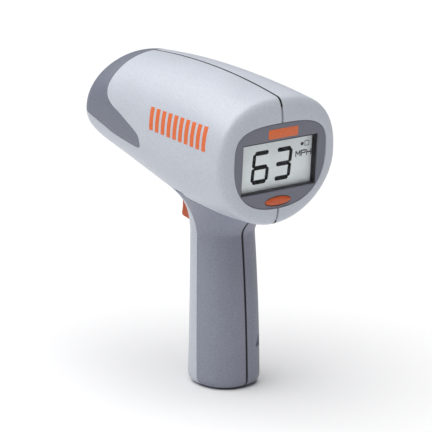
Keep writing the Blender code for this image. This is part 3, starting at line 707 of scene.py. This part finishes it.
def grip_surface(handle, side):
    grip = trim(handle, lambda p: side * p[:, 0] - GRIP_SEAM - SEAM_LIP)
    grip = trim(grip, lambda p: grip_front_edge(p[:, 2]) - p[:, 1] - GRIP_GAP - SEAM_LIP)
    return trim(grip, lambda p: body_clearance(p, BELLY_GAP + SEAM_LIP))


def notch_clearance(points):
    gap = box_distance((points[:, 0], points[:, 2]), NOTCH_CENTRE, NOTCH_HALF) - SEAM_LIP
    return np.where(points[:, 1] < 40.0, gap, FAR)


def notch_floor():
    """The finger notch's sloping floor: deepest at its level ledge, and running out at the top."""
    (x, z), (half_x, half_z) = NOTCH_CENTRE, NOTCH_HALF
    rings = []
    low, high = z - half_z, z + half_z
    for height, depth in ((low - 1.2, NOTCH_DEPTH), (low, NOTCH_DEPTH), (high + 0.6, 0.45)):
        xs = np.linspace(x - half_x - 1.0, x + half_x + 1.0, 9)
        face = handle_rear_at(xs, height) + depth
        outer = np.column_stack([xs, face, np.full(9, height)])
        inner = np.column_stack([xs[::-1], face[::-1] + 1.2, np.full(9, height)])
        rings.append(np.vstack([outer, inner]))
    return lofted(rings)


def make_grips(handle):
    solids = [thicken(grip_surface(handle, -1), HANDLE_WALL, SEAM_LIP)]
    build("left_grip_shell", solids, "gun", "dark_grip", ["left_grip_panel"])
    door_surface = trim(grip_surface(handle, 1), notch_clearance)
    solids = [thicken(door_surface, HANDLE_WALL, SEAM_LIP), notch_floor()] + door_tongues()
    build("battery_door_shell", solids, "battery_door", "dark_grip", ["battery_door"])


def door_tongues():
    """Two flat tongues that hook under the housing's front strip."""
    made = []
    for z in (38.0, 84.0):
        inner_side = float(handle_section(z + 7.0, HANDLE_WALL)[2])
        rear, front = 36.0 + 0.1 * z - 3.0, grip_front_edge(z) + 2.6
        made.append(block((inner_side - 2.1, rear, z), (inner_side - 0.6, front, z + 7.0), 0.5))
        made.append(block((inner_side - 1.2, rear, z + 0.5), (inner_side + 0.9, rear + 5.0, z + 6.5), 0.4))
    return made


def block(low, high, chamfer):
    """A box with chamfered corners along z."""
    (x0, y0, z0), (x1, y1, z1) = low, high
    c = chamfer
    outline = [(x0 + c, y0), (x1 - c, y0), (x1, y0 + c), (x1, y1 - c)]
    outline += [(x1 - c, y1), (x0 + c, y1), (x0, y1 - c), (x0, y0 + c)]
    return lofted([np.array([(x, y, z) for x, y in outline]) for z in (z0, z1)])


# ---------------------------------------------------------------- display


def plate_grid(x_half, z_low, z_high, y, pitch):
    """A flat grid of faces that looks towards the rear."""
    xs = np.arange(-x_half, x_half + pitch, pitch)
    zs = np.arange(z_low, z_high + pitch, pitch)
    points = np.array([(x, y, z) for z in zs for x in xs])
    wide = len(xs)
    faces = []
    for row in range(len(zs) - 1):
        for i in range(wide - 1):
            a = row * wide + i
            faces.append([a, a + 1, a + wide + 1, a + wide])
    return Surface(points, faces, np.tile((0.0, -1.0, 0.0), (len(points), 1)))


def window_distance(points, grow):
    half = (WINDOW_SIZE[0] / 2 + grow, WINDOW_SIZE[1] / 2 + grow)
    return box_distance((points[:, 0], points[:, 2]), (0.0, WINDOW_CENTRE), half)


def make_bezel():
    plate = plate_grid(44.0, 126.0, 187.0, BEZEL_FACE, 0.7)
    lip = 0.5
    plate = trim(plate, lambda p: -bezel_distance(p) - lip)
    plate = trim(plate, lambda p: window_distance(p, 0.75) - lip)
    half_a, half_b = (half + 0.35 + lip for half in BUTTON_HALF)
    plate = trim(plate, lambda p: oval_distance(p[:, 0], p[:, 2] - BUTTON_CENTRE, half_a, half_b, 2.0))
    solids = [thicken(plate, BEZEL_DEPTH, lip, 4)]
    build("display_bezel_plate", solids, "gun", "bezel", ["display_bezel"])


def make_button():
    half_a, half_b = BUTTON_HALF
    turn = 2 * np.pi * np.arange(72) / 72
    rings = []
    dome = [(-0.42, 3.0), (-0.42, 2.3), (-0.36, 1.6), (-0.22, 0.9)]
    edge = [(0.02, 0.42), (0.35, 0.12), (0.8, 0.0), (5.6, 0.0)]
    for y, shrink in dome + edge:
        a = (half_a - shrink) * np.cos(turn)
        b = max(half_b - shrink, half_b * 0.12) * np.sin(turn)
        rings.append(np.column_stack([a, np.full(72, y), BUTTON_CENTRE + b]))
    solids = [lofted(rings)]
    build("power_button_cap", solids, "power_button", "orange", ["power_button"])


def raised_outline(outline, y, thickness, edge=0.12):
    """A thin raised print with softened edges on a plane facing the rear; the outline is (x, z) pairs."""
    outline = np.array(outline, float)
    middle = outline.mean(axis=0)
    reach = np.linalg.norm(outline - middle, axis=1)[:, None]
    small = middle + (outline - middle) * (1 - edge / np.maximum(reach, edge * 2))
    rings = []
    for pairs, depth in ((outline, y), (outline, y - thickness * 0.6), (small, y - thickness)):
        rings.append(np.column_stack([pairs[:, 0], np.full(len(pairs), depth), pairs[:, 1]]))
    return lofted(rings)


def rounded_rectangle(low, high, radius, steps=5):
    (x0, z0), (x1, z1) = low, high
    corners = [(x1 - radius, z0 + radius, -90), (x1 - radius, z1 - radius, 0)]
    corners += [(x0 + radius, z1 - radius, 90), (x0 + radius, z0 + radius, 180)]
    pairs = []
    for x, z, first in corners:
        for k in range(steps + 1):
            turn = math.radians(first + 90 * k / steps)
            pairs.append((x + radius * math.cos(turn), z + radius * math.sin(turn)))
    return pairs


def make_label():
    outline = rounded_rectangle(*LABEL_CORNERS, 0.5)
    solids = [raised_outline(outline, BEZEL_FACE + 0.05, 0.2)]
    build("bezel_label", solids, "gun", "orange_print", ())


def segment_bar(start, end, width):
    """A rounded bar from start to end, one stroke of a display digit, as an outline of (x, z) pairs."""
    start, end = np.array(start, float), np.array(end, float)
    along = (end - start) / np.linalg.norm(end - start)
    across = np.array([-along[1], along[0]])
    pairs = []
    for centre, sign in ((start, -1), (end, 1)):
        for k in range(9):
            turn = math.pi * (k / 8 - 0.5)
            pairs.append(centre + sign * width / 2 * (math.cos(turn) * along + math.sin(turn) * across))
    return pairs


DIGIT_SEGMENTS = {"6": "acdefg", "3": "abcdg"}


def digit_bars(digit, left):
    """The lit bars of a seven-segment digit, leaning a little to the right."""
    wide, tall = DIGIT_SIZE
    half = tall / 2
    corners = {
        "a": ((0, tall), (wide, tall)),
        "b": ((wide, tall), (wide, half)),
        "c": ((wide, half), (wide, 0)),
        "d": ((0, 0), (wide, 0)),
        "e": ((0, 0), (0, half)),
        "f": ((0, half), (0, tall)),
        "g": ((0, half), (wide, half)),
    }
    bars = []
    for letter in DIGIT_SEGMENTS[digit]:
        a, b = (np.array(corner, float) for corner in corners[letter])
        along = (b - a) / np.linalg.norm(b - a)
        ends = [a + along * DIGIT_GAP, b - along * DIGIT_GAP]
        ends = [(left + x + DIGIT_SLANT * z, DIGIT_FOOT + z) for x, z in ends]
        bars.append(segment_bar(*ends, DIGIT_BAR))
    return bars


LETTER_STROKES = {
    "M": [((0, 0), (0, 1)), ((0, 1), (0.5, 0.35)), ((0.5, 0.35), (1, 1)), ((1, 1), (1, 0))],
    "P": [((0, 0), (0, 1)), ((0, 1), (0.95, 1)), ((0.95, 1), (0.95, 0.5)), ((0.95, 0.5), (0, 0.5))],
    "H": [((0, 0), (0, 1)), ((1, 0), (1, 1)), ((0, 0.5), (1, 0.5))],
}


def letter_bars(word):
    (left, bottom), (wide, tall) = UNIT_CORNER, UNIT_LETTER
    bars = []
    for k, letter in enumerate(word):
        for stroke in LETTER_STROKES[letter]:
            ends = [(left + k * UNIT_PITCH + x * wide, bottom + z * tall) for x, z in stroke]
            bars.append(segment_bar(*ends, UNIT_STROKE))
    return bars


def make_digits():
    """The reading on the glass, its unit, and a small battery sign."""
    depth = GLASS_FACE - 0.02
    digits = []
    for digit, left in READING:
        digits += [raised_outline(bar, depth, 0.06, 0.03) for bar in digit_bars(digit, left)]
    build("display_digits", digits, "gun", "lcd_ink", ())
    small = letter_bars("MPH")
    small += [segment_bar((24.4, 167.0), (25.0, 167.0), 2.2)]
    battery = [(27.2, 165.5), (27.2, 168.6), (31.0, 168.6), (31.0, 165.5)]
    small += [segment_bar(a, b, 0.4) for a, b in zip(battery, battery[1:] + battery[:1])]
    signs = [raised_outline(bar, depth, 0.05, 0.03) for bar in small]
    build("display_signs", signs, "gun", "lcd_faint_ink", ())


# ---------------------------------------------------------------- trigger


def make_trigger():
    """The finger blade, its eye on the pin and its rear arm, with moulded round edges."""
    front = smooth_through([(84.2, 130.5), (84.0, 120.0), (83.4, 113.0), (83.9, 107.8), (82.7, 106.0)], 5)
    under = smooth_through([(81.8, 105.7), (77.2, 104.7), (73.2, 103.1), (71.4, 102.7)], 4)
    back = [(70.2, 103.7), (69.9, 110.0), (70.1, 128.5)]
    outline = np.vstack([front, under, back, [(73.0, 132.5), (82.5, 132.5)]])
    solids = [rounded_prism(outline, TRIGGER_HALF_WIDTH, 1.3)]
    arm = np.array([(62.7, 134.2), (76.0, 132.6), (80.0, 133.5), (80.0, 138.4), (62.7, 137.0)])
    solids.append(rounded_prism(arm, 4.0, 0.4))
    turn = 2 * np.pi * np.arange(40) / 40
    rings = []
    for x, r in ((-6.3, 1.8), (-6.3, 4.0), (-6.0, 4.3), (6.0, 4.3), (6.3, 4.0), (6.3, 1.8)):
        rings.append(x_ring(x, PIVOT, r, turn))
    solids.append(torus_rows(rings))
    build("trigger_blade", solids, "trigger", "orange", ["trigger"])


def rounded_prism(outline, half_width, radius, steps=4):
    """A prism along x over a (y, z) outline, with its two side edges rounded."""
    along = np.roll(outline, -1, axis=0) - np.roll(outline, 1, axis=0)
    inward = across_towards(along, outline.mean(axis=0) - outline)
    turns = np.linspace(0, math.pi / 2, steps + 1)
    profile = [(-half_width + radius * (1 - math.sin(t)), radius * (1 - math.cos(t))) for t in turns[::-1]]
    profile += [(-x, shrink) for x, shrink in profile[::-1]]
    rings = []
    for x, shrink in profile:
        pairs = outline + inward * shrink
        rings.append(np.column_stack([np.full(len(pairs), x), pairs]))
    return lofted(rings)


# ---------------------------------------------------------------- side graphic


def make_side_graphic():
    """A plain block of slanted bars, printed on the left side in place of any lettering."""
    bars = []
    for k in range(BAR_COUNT):
        rear = BARS_FROM + k * BAR_PITCH
        low = BARS_LOW + 0.062 * (rear - 18.0)
        high = BARS_HIGH + 0.045 * (rear - 18.0)
        bars.append(side_patch(rear, 0.62 * BAR_PITCH, low, high, BAR_LEAN))
    build("side_bars", bars, "gun", "orange_print", ())


def side_patch(rear, width, low, high, lean, rows=14, columns=5):
    """A thin raised patch that follows the body's left side; its top leans forward."""
    grid = []
    for row in range(rows + 1):
        up = row / rows
        z = low + (high - low) * up
        for column in range(columns + 1):
            y = rear + lean * up + width * column / columns
            grid.append((y, z))
    grid = np.array(grid)
    half = body_half_width_at(grid[:, 0], grid[:, 1])
    wide = columns + 1
    top = np.column_stack([-(half + 0.07), grid])
    under = np.column_stack([-(half - 0.25), grid])
    count = len(grid)
    faces = []
    for row in range(rows):
        for column in range(columns):
            a = row * wide + column
            faces.append([a, a + 1, a + wide + 1, a + wide])
            faces.append([count + a + wide, count + a + wide + 1, count + a + 1, count + a])
    rim = [k for k in range(columns)]
    rim += [columns + wide * k for k in range(rows)]
    rim += [rows * wide + columns - k for k in range(columns)]
    rim += [wide * (rows - k) for k in range(rows)]
    for a, b in zip(rim, rim[1:] + rim[:1]):
        faces.append([b, a, count + a, count + b])
    return outward_solid(np.vstack([top, under]), faces)


# ---------------------------------------------------------------- materials


def new_material(name):
    """A new material with its tree, its shader and the object's own coordinates."""
    material = bpy.data.materials.new(name)
    material.use_nodes = True
    tree = material.node_tree
    place = tree.nodes.new("ShaderNodeTexCoord").outputs["Object"]
    return material, tree, tree.nodes["Principled BSDF"], place


def add_node(tree, kind, settings=(), inputs=(), links=()):
    node = tree.nodes.new(kind)
    for key, value in dict(settings).items():
        setattr(node, key, value)
    for key, value in dict(inputs).items():
        node.inputs[key].default_value = value
    for key, source in dict(links).items():
        tree.links.new(source, node.inputs[key])
    return node


def noise(tree, coordinates, scale, detail=2.0, roughness=0.5):
    inputs = {"Scale": scale, "Detail": detail, "Roughness": roughness}
    return add_node(tree, "ShaderNodeTexNoise", {}, inputs, {"Vector": coordinates}).outputs["Fac"]


def ramp(tree, value, low, high, start=0.0, end=1.0):
    """A smooth step of value from the number or colour low to high."""
    node = add_node(tree, "ShaderNodeValToRGB", links={"Fac": value})
    node.color_ramp.elements[0].position = start
    node.color_ramp.elements[1].position = end
    for element, shade in zip(node.color_ramp.elements, (low, high)):
        element.color = (*shade, 1.0) if hasattr(shade, "__len__") else (shade, shade, shade, 1.0)
    return node.outputs["Color"]


def blend_colours(tree, factor, first, second, mode="MIX"):
    node = tree.nodes.new("ShaderNodeMix")
    node.data_type = "RGBA"
    node.blend_type = mode
    for socket, value in ((0, factor), (6, first), (7, second)):
        if isinstance(value, bpy.types.NodeSocket):
            tree.links.new(value, node.inputs[socket])
        elif socket == 0:
            node.inputs[socket].default_value = value
        else:
            node.inputs[socket].default_value = (*value, 1.0)
    return node.outputs[2]


def emboss(tree, shader, height, strength, distance=0.00005):
    """Gives the surface a fine relief that follows height."""
    inputs = {"Strength": strength, "Distance": distance}
    relief = add_node(tree, "ShaderNodeBump", inputs=inputs, links={"Height": height})
    tree.links.new(relief.outputs["Normal"], shader.inputs["Normal"])


def vary(tree, shader, **sources):
    """Links each source to the shader's socket of that name."""
    for name, source in sources.items():
        tree.links.new(source, shader.inputs[name.replace("_", " ")])


def scaled(colour, factor):
    return tuple(min(channel * factor, 1.0) for channel in colour)


def plastic(name, colour, roughness=0.42, grain=2600.0, speckle=0.05, bump=0.10, wear_and_highlight=0.06, cloud=0.03):
    """Moulded plastic: fine spark texture, a faint speckle and cloudiness, and paler convex edges, partly
    rubbed wear and partly a painted edge highlight.
    """
    material, tree, shader, place = new_material(name)
    fine = noise(tree, place, grain, 2.0, 0.6)
    coarse = noise(tree, place, grain / 60, 3.0, 0.55)
    grains = ramp(tree, fine, scaled(colour, 1 - speckle), scaled(colour, 1 + speckle), 0.36, 0.64)
    clouds = ramp(tree, coarse, scaled((1, 1, 1), 1 - cloud), (1.0, 1.0, 1.0), 0.35, 0.65)
    shade = blend_colours(tree, 1.0, grains, clouds, "MULTIPLY")
    # Paler convex edges: partly rubbed wear, partly a painted highlight along the edges.
    edges = tree.nodes.new("ShaderNodeNewGeometry").outputs["Pointiness"]
    rubbed_and_highlit_edges = ramp(tree, edges, 0.0, wear_and_highlight, 0.52, 0.62)
    shade = blend_colours(tree, rubbed_and_highlit_edges, shade, scaled(colour, 1.35))
    vary(tree, shader, Base_Color=shade)
    vary(tree, shader, Roughness=ramp(tree, coarse, roughness - 0.05, roughness + 0.06, 0.3, 0.7))
    emboss(tree, shader, fine, bump, 0.00008)
    shader.inputs["Specular IOR Level"].default_value = 0.42
    return material


def metal(name, colour, roughness=0.3, stretch=(1.0, 1.0, 30.0), grain=900.0):
    """Worked metal: fine drawn lines, uneven gloss and a slight tarnish."""
    material, tree, shader, place = new_material(name)
    drawn = add_node(tree, "ShaderNodeMapping", inputs={"Scale": stretch}, links={"Vector": place})
    lines = noise(tree, drawn.outputs["Vector"], grain, 3.0, 0.6)
    stains = noise(tree, place, 60.0, 4.0, 0.6)
    shade = ramp(tree, stains, scaled(colour, 0.8), scaled(colour, 1.08), 0.35, 0.6)
    vary(tree, shader, Base_Color=shade)
    vary(tree, shader, Roughness=ramp(tree, lines, roughness - 0.08, roughness + 0.12, 0.3, 0.7))
    emboss(tree, shader, lines, 0.15)
    shader.inputs["Metallic"].default_value = 1.0
    return material


def circuit_board(name, colour):
    """Solder mask over a network of copper tracks, with pads and plated holes."""
    material, tree, shader, place = new_material(name)
    cells = add_node(
        tree,
        "ShaderNodeTexVoronoi",
        {"distance": "CHEBYCHEV", "feature": "DISTANCE_TO_EDGE"},
        {"Scale": 260.0},
        {"Vector": place},
    )
    tracks = ramp(tree, cells.outputs["Distance"], 1.0, 0.0, 0.04, 0.10)
    euclidean = {"distance": "EUCLIDEAN"}
    spots = add_node(tree, "ShaderNodeTexVoronoi", euclidean, {"Scale": 210.0}, {"Vector": place})
    pads = ramp(tree, spots.outputs["Distance"], 1.0, 0.0, 0.13, 0.16)
    shade = blend_colours(tree, tracks, colour, scaled(colour, 1.9))
    shade = blend_colours(tree, pads, shade, (0.62, 0.52, 0.30))
    vary(tree, shader, Base_Color=shade)
    vary(tree, shader, Roughness=ramp(tree, pads, 0.42, 0.22))
    emboss(tree, shader, tracks, 0.2)
    return material


def lcd_panel(name, colour):
    """The reflective display: a grey-green field with a fine grain and a slight mottling."""
    material, tree, shader, place = new_material(name)
    mottle = noise(tree, place, 45.0, 3.0)
    shade = ramp(tree, mottle, scaled(colour, 0.95), scaled(colour, 1.04), 0.35, 0.65)
    fine = noise(tree, place, 2200.0, 2.0)
    grain = ramp(tree, fine, (0.955, 0.955, 0.955), (1.0, 1.0, 1.0), 0.4, 0.6)
    shade = blend_colours(tree, 1.0, shade, grain, "MULTIPLY")
    vary(tree, shader, Base_Color=shade)
    vary(tree, shader, Roughness=ramp(tree, fine, 0.34, 0.44))
    shader.inputs["Specular IOR Level"].default_value = 0.3
    return material


def clear_window(name):
    """Thin clear acrylic, with the faint smears that a wiped window keeps."""
    material, tree, shader, place = new_material(name)
    smears = noise(tree, place, 70.0, 4.0, 0.65)
    shader.inputs["Base Color"].default_value = (0.9, 0.92, 0.92, 1.0)
    vary(tree, shader, Roughness=ramp(tree, smears, 0.03, 0.10, 0.4, 0.7))
    vary(tree, shader, Alpha=ramp(tree, smears, 0.01, 0.025, 0.4, 0.7))
    return material


def printed_ink(name, colour, roughness=0.5, shine=0.3):
    """Printed ink: slightly uneven cover over the grain below."""
    material, tree, shader, place = new_material(name)
    cover = noise(tree, place, 1500.0, 3.0, 0.6)
    shade = ramp(tree, cover, scaled(colour, 0.9), scaled(colour, 1.12), 0.35, 0.65)
    vary(tree, shader, Base_Color=shade)
    vary(tree, shader, Roughness=ramp(tree, cover, roughness - 0.05, roughness + 0.1))
    shader.inputs["Specular IOR Level"].default_value = shine
    emboss(tree, shader, cover, 0.1)
    return material


def battery_case(name):
    """A cell's sleeve: a dark wrap with a pale band at its foot and crimped metal ends."""
    material, tree, shader, place = new_material(name)
    height = add_node(tree, "ShaderNodeSeparateXYZ", links={"Vector": place}).outputs["Z"]
    bands = add_node(tree, "ShaderNodeMath", {"operation": "PINGPONG"}, {1: 0.0249}, {0: height})
    stripe = ramp(tree, bands.outputs["Value"], 0.0, 1.0, 0.0100, 0.0104)
    scuffs = noise(tree, place, 300.0, 4.0, 0.7)
    dark = ramp(tree, scuffs, (0.03, 0.03, 0.035), (0.07, 0.07, 0.075), 0.35, 0.7)
    shade = blend_colours(tree, stripe, (0.55, 0.42, 0.20), dark)
    vary(tree, shader, Base_Color=shade)
    vary(tree, shader, Roughness=ramp(tree, scuffs, 0.25, 0.45))
    shader.inputs["Metallic"].default_value = 0.4
    return material


def ribbon_film(name):
    """Amber flexible circuit with copper tracks running along it."""
    material, tree, shader, place = new_material(name)
    wave = add_node(tree, "ShaderNodeTexWave", {"bands_direction": "X"}, {"Scale": 130.0}, {"Vector": place})
    across = wave.outputs["Fac"]
    shade = ramp(tree, across, (0.45, 0.20, 0.05), (0.70, 0.38, 0.12), 0.4, 0.6)
    vary(tree, shader, Base_Color=shade)
    vary(tree, shader, Roughness=ramp(tree, across, 0.45, 0.3))
    return material


def floor_material(name):
    material, tree, shader, place = new_material(name)
    mottle = noise(tree, place, 3.0)
    vary(tree, shader, Base_Color=ramp(tree, mottle, (0.845, 0.845, 0.85), (0.865, 0.865, 0.87)))
    shader.inputs["Roughness"].default_value = 0.9
    shader.inputs["Specular IOR Level"].default_value = 0.1
    return material


def make_materials():
    light, nose, grip = (0.55, 0.58, 0.645), (0.19, 0.205, 0.255), (0.265, 0.28, 0.345)
    coarse = 1500.0
    return {
        "light_housing": plastic("light_housing_plastic", light, 0.40, coarse, speckle=0.09, bump=0.16),
        "dark_housing": plastic("nose_cap_plastic", nose, 0.42, coarse, speckle=0.13, bump=0.18),
        "dark_grip": plastic("grip_plastic", grip, 0.5, coarse, speckle=0.13, bump=0.22),
        "bezel": plastic("bezel_plastic", (0.17, 0.178, 0.222), 0.45, speckle=0.05, bump=0.08),
        "orange": plastic("orange_plastic", (0.60, 0.10, 0.026), 0.45, speckle=0.08, bump=0.10),
        "orange_print": printed_ink("orange_ink", (0.74, 0.165, 0.055)),
        "lcd_ink": printed_ink("lcd_ink", (0.006, 0.006, 0.008), 0.6, 0.05),
        "lcd_faint_ink": printed_ink("lcd_faint_ink", (0.05, 0.05, 0.055), 0.6, 0.05),
        "black_plastic": plastic("black_plastic", (0.018, 0.018, 0.02), 0.5, speckle=0.15, bump=0.15),
        "window": clear_window("clear_window"),
        "lcd": lcd_panel("lcd_panel", (0.87, 0.93, 0.95)),
        "elastomer": plastic("elastomer_rubber", (0.013, 0.013, 0.015), 0.75, speckle=0.25, bump=0.2),
        "circuit_board": circuit_board("circuit_board", (0.02, 0.13, 0.055)),
        "cast_metal": metal("cast_metal", (0.60, 0.61, 0.63), 0.42, (1.0, 1.0, 1.0), 1200.0),
        "lens_plastic": plastic("lens_plastic", (0.78, 0.78, 0.74), 0.35, speckle=0.03, bump=0.05),
        "bright_steel": metal("bright_steel", (0.62, 0.62, 0.63), 0.24),
        "screw_steel": metal("screw_steel", (0.50, 0.50, 0.51), 0.3, (1.0, 1.0, 1.0)),
        "battery_case": battery_case("battery_case"),
        "ribbon": ribbon_film("ribbon_film"),
        "red_wire": plastic("red_wire", (0.45, 0.02, 0.02), 0.4, speckle=0.05, bump=0.05),
        "black_wire": plastic("black_wire", (0.02, 0.02, 0.022), 0.4, speckle=0.1, bump=0.05),
    }


def dress_cad_nodes():
    """Gives every node that still shows its slot's material and smooth round faces."""
    slots = {part["node"]: part["material_slot"] for part in frame["record"]["subparts"]}
    for name, node in frame["nodes"].items():
        if node.hide_render:
            continue
        node.data.materials.clear()
        node.data.materials.append(MATERIALS[slots[name]])
        node.data.shade_smooth()
        node.data.set_sharp_from_angle(angle=math.radians(32))


# ---------------------------------------------------------------- stage, light and camera


def make_floor():
    mesh = bpy.data.meshes.new("floor")
    corners = [(x * FLOOR_HALF, y * FLOOR_HALF, 0) for x, y in ((-1, -1), (1, -1), (1, 1), (-1, 1))]
    mesh.from_pydata(corners, [], [[0, 1, 2, 3]])
    floor = bpy.data.objects.new("floor", mesh)
    bpy.context.scene.collection.objects.link(floor)
    floor.location.z = -0.0005
    mesh.materials.append(floor_material("floor_paper"))


def make_world(strength):
    world = bpy.data.worlds.new("studio")
    world.use_nodes = True
    background = world.node_tree.nodes["Background"]
    background.inputs["Color"].default_value = (1.0, 1.0, 1.0, 1.0)
    background.inputs["Strength"].default_value = strength
    bpy.context.scene.world = world


def make_lights():
    """A large soft key from above and the left, and a weak fill low on the left; the room adds the rest."""
    for name, direction, spread, level in (
        ("key", (-0.22, 0.12, 0.97), 80.0, KEY_LEVEL),
        ("fill", (-0.95, -0.25, 0.20), 60.0, FILL_LEVEL),
    ):
        data = bpy.data.lights.new(name, "SUN")
        data.angle = math.radians(spread)
        data.energy = level * math.pi
        light = bpy.data.objects.new(name, data)
        light.rotation_mode = "QUATERNION"
        light.rotation_quaternion = (-Vector(direction)).to_track_quat("-Z", "Y")
        bpy.context.scene.collection.objects.link(light)


def make_camera():
    azimuth, elevation = math.radians(CAMERA_AZIMUTH), math.radians(CAMERA_ELEVATION)
    roll = math.radians(CAMERA_ROLL)
    level = -math.cos(elevation)
    back = Vector((math.sin(azimuth) * level, math.cos(azimuth) * level, math.sin(elevation)))
    right = Vector((math.cos(azimuth), -math.sin(azimuth), 0.0))
    up = back.cross(right)
    right, up = right * math.cos(roll) + up * math.sin(roll), up * math.cos(roll) - right * math.sin(roll)
    data = bpy.data.cameras.new("camera")
    data.sensor_width = 36.0
    data.lens = CAMERA_LENS
    data.clip_start, data.clip_end = 0.05, FLOOR_HALF * 2
    camera = bpy.data.objects.new("camera", data)
    turn = Matrix((right, up, back)).transposed().to_4x4()
    camera.matrix_world = Matrix.Translation(Vector(CAMERA_TARGET) + back * CAMERA_DISTANCE) @ turn
    bpy.context.scene.collection.objects.link(camera)
    bpy.context.scene.camera = camera
    bpy.context.scene.view_settings.view_transform = "Standard"


CAP_OUTLINE = nose_cap_outline()
MATERIALS = make_materials()
BODY_SURFACE = body_surface()
HANDLE_SURFACE = handle_surface()
make_housings(BODY_SURFACE, HANDLE_SURFACE)
make_nose_cap(BODY_SURFACE)
# Painted shadow in the seams: dark beads along the parting lines.
make_seam_shadow_beads()
make_grips(HANDLE_SURFACE)
make_bezel()
make_button()
make_label()
make_digits()
make_trigger()
make_side_graphic()
dress_cad_nodes()
make_floor()
make_world(WORLD_LEVEL)
make_lights()
make_camera()
